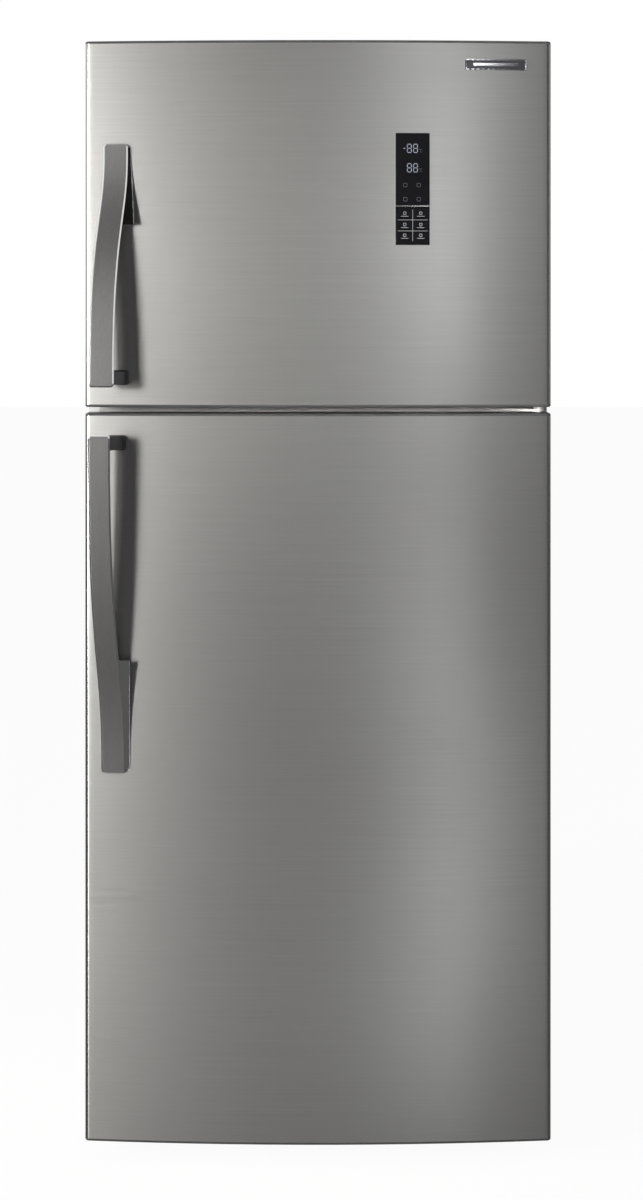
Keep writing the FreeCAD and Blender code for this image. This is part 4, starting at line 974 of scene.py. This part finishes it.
class FRIDGE_OT_seals(Operator):
    """Model each door's magnetic seal: foot, folded bellows and magnet tube"""
    bl_idname = "fridge.seals"
    bl_label = "Door Seals"

    def execute(self, context):
        for door in SHEETS:
            piece = self.make_ring(f"{door}_seal", *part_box(f"{door}_door_gasket"))
            face_outwards(piece)
            smooth(piece, 60)
            dress(piece, f"{door}_door", "seal_vinyl", MATERIALS["seal_vinyl"], f"{door}_door_gasket")
        return {"FINISHED"}

    def make_ring(self, name, low, high):
        """Frame whose four sides all have the seal's cross-section."""
        mid, half = (low + high) / 2, (high - low) / 2
        _, outer, inner = SEAL_PROFILE[0]
        piece = add_upright_plane(name, low.x + outer, high.x - outer, low.y, low.z + outer, high.z - outer)
        with editing(piece):
            bpy.ops.mesh.select_all(action="SELECT")
            bpy.ops.mesh.inset(thickness=SEAL_WIDTH - outer - inner)
            bpy.ops.mesh.delete(type="FACE")
            for (back, outer, inner), (next_back, next_outer, next_inner) in zip(SEAL_PROFILE, SEAL_PROFILE[1:]):
                pick("FACE", lambda f: near(middle(f).y, low.y + back, 2e-5) and abs(f.normal.y) > 0.9)
                extrude(y=next_back - back)
                level = low.y + next_back
                for is_outer, now, then in ((True, outer, next_outer),
                                            (False, SEAL_WIDTH - inner, SEAL_WIDTH - next_inner)):
                    pick("VERT", lambda v: near(v.co.y, level, 2e-5) and self.on_outside(v, mid, half) == is_outer)
                    stretch((half.x - then) / (half.x - now), 1, (half.z - then) / (half.z - now),
                            about=(mid.x, level, mid.z))
        return piece

    def on_outside(self, vertex, mid, half):
        """Whether a vertex belongs to the outer side of the ring."""
        reach = SEAL_WIDTH / 2
        return abs(vertex.co.x - mid.x) > half.x - reach or abs(vertex.co.z - mid.z) > half.z - reach


LOUVRE_COLUMNS, LOUVRE_ROWS = 5, 9
LOUVRE_START, LOUVRE_PITCH, LOUVRE_SIZE = (-0.190, 0.078), (0.092, 0.016), (0.072, 0.007)


class FRIDGE_OT_louvres(Operator):
    """Fit a slanted blade in each air slot of the machine room's cover"""
    bl_idname = "fridge.louvres"
    bl_label = "Rear Louvres"

    def execute(self, context):
        x, z = LOUVRE_START
        wide, high = LOUVRE_SIZE
        first = add_block("louvre", (x, 0.3570, z), (x + wide, 0.3642, z + 0.0009))
        with editing(first):
            pick("VERT", lambda v: v.co.y < 0.36)
            move(z=high - 0.0012)
            pick("EDGE", lambda e: along(e, 0))
            bevel(0.0002, 1)
        blades = [first]
        for column in range(LOUVRE_COLUMNS):
            for row in range(LOUVRE_ROWS):
                if column or row:
                    blades.append(copied(first, "louvre", column * LOUVRE_PITCH[0], 0, row * LOUVRE_PITCH[1]))
        piece = joined("cover_louvres", blades)
        smooth(piece)
        dress(piece, "cabinet", "galvanised_steel", MATERIALS["back_sheet"])
        return {"FINISHED"}


# Carried-over parts --------------------------------------------------------------------------------------
NODE_FINISHES = {
    "painted_sheet": ("side_panel_left", "side_panel_right", "top_panel"),
    "back_sheet": ("back_panel", "compressor_cover"),
    "insulation_foam": ("cabinet_insulation", "freezer_door_foam", "fridge_door_foam"),
    "white_liner": ("freezer_liner", "fridge_liner", "freezer_door_liner", "fridge_door_liner", "evaporator_cover",
                    "air_duct"),
    "cap_plastic": ("freezer_door_caps", "fridge_door_caps", "top_hinge_cover"),
    "galvanised_steel": ("base_frame", "roller_axles"),
    "painted_rail": ("mullion_rail", "middle_hinge"),
    "black_steel": ("compressor",),
    "black_rubber": ("compressor_mounts",),
    "dark_plastic": ("foot_left", "foot_right", "roller_left", "roller_right", "cord_gland", "drain_pan", "fan_motor",
                     "evaporator_fan"),
    "grille_white": ("toe_grille",),
    "hinge_steel": ("top_hinge", "bottom_hinge", "cabinet_screws"),
    "coil_aluminium": ("evaporator",),
    "white_wire": ("freezer_shelf",),
    "shelf_glass": ("shelf_glass", "crisper_cover"),
    "grey_plastic": ("shelf_trims",),
    "clear_plastic": ("crisper_drawer", "chiller_drawer", "ice_box", "freezer_door_bins", "fridge_door_bins"),
    "lamp_cover": ("interior_lamps",),
}


class FRIDGE_OT_finishes(Operator):
    """Give each carried-over part its material"""
    bl_idname = "fridge.finishes"
    bl_label = "Part Finishes"

    def execute(self, context):
        make_materials(context.scene.fridge_finish)
        nodes = frame["nodes"]
        done = set()
        for finish, names in NODE_FINISHES.items():
            for name in names:
                slots = nodes[name].material_slots
                if not slots:
                    raise RuntimeError(f"{name} has no material slot")
                for slot in slots:
                    slot.material = MATERIALS[finish]
                done.add(name)
        replaced = {"freezer_door_skin", "fridge_door_skin", "freezer_handle_body", "fridge_handle_body",
                    "freezer_handle_face", "fridge_handle_face", "display_panel", "badge", "freezer_door_gasket",
                    "fridge_door_gasket"}
        left_over = set(nodes) - done - replaced
        if left_over:
            raise RuntimeError(f"no finish for {sorted(left_over)}")
        return {"FINISHED"}


# Stage
WARM, COOL = (1.0, 0.985, 0.96), (0.97, 0.985, 1.0)
WIDE, NARROW = (0.30, 0.50), (0.08, 0.50)
# Each light: place, turn about Z in degrees, width and height, power in watts, colour, spread in degrees
LIGHTS = {
    "key_high": ((-2.194, -2.376, 1.4), -47.0, WIDE, 84.4, WARM, 180),
    "key_middle": ((-2.194, -2.376, 0.8), -47.0, WIDE, 15.4, WARM, 180),
    "side_high": ((-2.427, -2.093, 1.4), -54.0, WIDE, 14.8, WARM, 180),
    "side_middle": ((-2.427, -2.093, 0.8), -54.0, WIDE, 16.2, WARM, 180),
    "feather_inner": ((-1.928, -2.628, 1.4), -48.0, WIDE, 3.3, WARM, 28),
    "feather_outer": ((-1.928, -2.628, 1.4), -51.0, WIDE, 3.1, WARM, 34),
    "feather_middle": ((-1.928, -2.628, 0.8), -51.0, WIDE, 1.1, WARM, 34),
    "feather_low": ((-1.928, -2.628, 0.2), -48.0, WIDE, 1.4, WARM, 28),
    "right_high": ((0.5, -1.6, 2.0), 17.5, NARROW, 0.7, COOL, 180),
    "right_middle": ((0.5, -1.6, 1.4), 17.5, NARROW, 0.63, COOL, 180),
    "right_low": ((0.5, -1.6, 0.2), 17.5, NARROW, 0.84, COOL, 180),
    "edge_high": ((0.45, -1.2, 2.0), 31.9, NARROW, 0.17, COOL, 40),
    "edge_upper": ((0.45, -1.2, 1.4), 31.9, NARROW, 0.14, COOL, 40),
    "edge_middle": ((0.45, -1.2, 0.8), 31.9, NARROW, 0.08, COOL, 40),
    "edge_low": ((0.45, -1.2, 0.2), 31.9, NARROW, 0.09, COOL, 40),
}
STUDIO_WHITE = (1.0, 0.995, 0.985, 1)


class FRIDGE_OT_stage(Operator):
    """Set up the camera, the studio lights, the surroundings and the floor"""
    bl_idname = "fridge.stage"
    bl_label = "Stage"

    def execute(self, context):
        sizes = context.scene.fridge_stage
        self.add_camera(context, sizes)
        self.add_floor()
        for name, (place, turn, size, power, colour, spread_angle) in LIGHTS.items():
            bpy.ops.object.select_all(action="DESELECT")
            bpy.ops.object.light_add(type="AREA", location=place, rotation=(math.pi / 2, 0, math.radians(turn)))
            light = context.active_object
            light.name = name
            light.data.shape = "RECTANGLE"
            light.data.size, light.data.size_y = size
            light.data.energy, light.data.color = power, colour
            light.data.spread = math.radians(spread_angle)
            light.visible_camera = False
        self.make_surroundings(context, sizes)
        context.scene.view_settings.view_transform = "Standard"
        return {"FINISHED"}

    def add_camera(self, context, sizes):
        bpy.ops.object.camera_add(location=sizes.camera_place, rotation=(math.pi / 2, 0, 0))
        camera = context.active_object
        camera.data.lens, camera.data.sensor_width = sizes.lens, 36.0
        camera.data.shift_x, camera.data.shift_y = sizes.shift
        camera.data.dof.use_dof = False
        context.scene.camera = camera

    def add_floor(self):
        bpy.ops.object.select_all(action="DESELECT")
        bpy.ops.mesh.primitive_plane_add(size=1, location=(0, 0, 0))
        floor = settle("floor", (60, 60, 1))
        with editing(floor):
            bpy.ops.mesh.select_all(action="SELECT")
            bpy.ops.mesh.subdivide(number_cuts=8)
        material, tree, shader, here = start_material("floor_paper")
        skin = effect(tree, "grain", {"Vector": here, "Grain Scale": 300.0, "Wave Scale": 0.8, "Wave Share": 0.5})
        colour = blend_colours(tree, spread(tree, skin.outputs["Mottle"], 0, 1), (0.86, 0.86, 0.855),
                               (0.84, 0.84, 0.835))
        tree.links.new(colour, shader.inputs["Base Color"])
        shader.inputs["Roughness"].default_value = 0.9
        shader.inputs["Specular IOR Level"].default_value = 0.1
        glow = add_node(tree, "ShaderNodeEmission", {"Color": (1, 1, 1, 1), "Strength": 1.0})
        dim = add_node(tree, "ShaderNodeEmission", {"Color": (1, 1, 1, 1), "Strength": 0.10})
        rays = add_node(tree, "ShaderNodeLightPath")
        share = calculate(tree, "MULTIPLY", rays.outputs["Is Camera Ray"], 0.95)
        lit = add_node(tree, "ShaderNodeMixShader", {0: share, 1: shader.outputs[0], 2: glow.outputs[0]})
        mixed = add_node(tree, "ShaderNodeMixShader", {0: rays.outputs["Is Glossy Ray"], 1: lit.outputs[0],
                                                       2: dim.outputs[0]})
        output = next(n for n in tree.nodes if n.type == "OUTPUT_MATERIAL")
        tree.links.new(mixed.outputs[0], output.inputs["Surface"])
        floor.data.materials.append(material)

    def make_surroundings(self, context, sizes):
        """White to the camera; in reflections dim in front and at the right rear, bright elsewhere."""
        world = bpy.data.worlds.new("studio")
        context.scene.world = world
        world.use_nodes = True
        tree = world.node_tree
        tree.nodes.clear()
        way = add_node(tree, "ShaderNodeTexCoord")
        parts = add_node(tree, "ShaderNodeSeparateXYZ", {0: way.outputs["Generated"]})
        ahead = calculate(tree, "MULTIPLY", parts.outputs["Y"], -1.0)
        level = remap(tree, ahead, 0.05, 0.40, sizes.side_level, sizes.front_level, interpolation_type="SMOOTHSTEP")
        right = remap(tree, parts.outputs["X"], -0.15, -0.02, 0.0, 1.0)
        behind = remap(tree, parts.outputs["Y"], 0.0, 0.12, 0.0, 0.93)
        unshaded = calculate(tree, "SUBTRACT", 1.0, calculate(tree, "MULTIPLY", right, behind))
        room = add_node(tree, "ShaderNodeBackground",
                        {"Color": STUDIO_WHITE, "Strength": calculate(tree, "MULTIPLY", level, unshaded)})
        soft = add_node(tree, "ShaderNodeBackground", {"Color": STUDIO_WHITE, "Strength": 0.35})
        white = add_node(tree, "ShaderNodeBackground", {"Color": (1, 1, 1, 1), "Strength": 1.0})
        rays = add_node(tree, "ShaderNodeLightPath")
        lit = add_node(tree, "ShaderNodeMixShader", {0: rays.outputs["Is Glossy Ray"], 1: soft.outputs[0],
                                                     2: room.outputs[0]})
        seen = add_node(tree, "ShaderNodeMixShader", {0: rays.outputs["Is Camera Ray"], 1: lit.outputs[0],
                                                      2: white.outputs[0]})
        output = add_node(tree, "ShaderNodeOutputWorld")
        tree.links.new(seen.outputs[0], output.inputs["Surface"])


# Panel and registration
STEPS = (FRIDGE_OT_finishes, FRIDGE_OT_door_sheets, FRIDGE_OT_handles, FRIDGE_OT_display, FRIDGE_OT_badge,
         FRIDGE_OT_seals, FRIDGE_OT_louvres, FRIDGE_OT_stage)
SETTINGS = {"fridge_finish": FinishSettings, "fridge_doors": DoorSettings, "fridge_handles": HandleSettings,
            "fridge_stage": StageSettings}


class FRIDGE_PT_sidebar(Panel):
    """Lists the settings and the steps in the 3D view's sidebar"""
    bl_idname = "FRIDGE_PT_sidebar"
    bl_label = "Refrigerator"
    bl_space_type = "VIEW_3D"
    bl_region_type = "UI"
    bl_category = "Refrigerator"

    def draw(self, context):
        for attribute, group in SETTINGS.items():
            column = self.layout.column(align=True)
            for name in group.__annotations__:
                column.prop(getattr(context.scene, attribute), name)
        for step in STEPS:
            self.layout.operator(step.bl_idname)


def register():
    for group in SETTINGS.values():
        bpy.utils.register_class(group)
    for attribute, group in SETTINGS.items():
        setattr(bpy.types.Scene, attribute, PointerProperty(type=group))
    for step in (*STEPS, FRIDGE_PT_sidebar):
        bpy.utils.register_class(step)


def unregister():
    for step in (FRIDGE_PT_sidebar, *reversed(STEPS)):
        bpy.utils.unregister_class(step)
    for attribute, group in SETTINGS.items():
        delattr(bpy.types.Scene, attribute)
        bpy.utils.unregister_class(group)


def main():
    register()
    bpy.ops.fridge.finishes()
    bpy.ops.fridge.door_sheets()
    bpy.ops.fridge.handles()
    bpy.ops.fridge.display()
    bpy.ops.fridge.badge()
    bpy.ops.fridge.seals()
    bpy.ops.fridge.louvres()
    bpy.ops.fridge.stage()


if __name__ == "__main__":
    main()
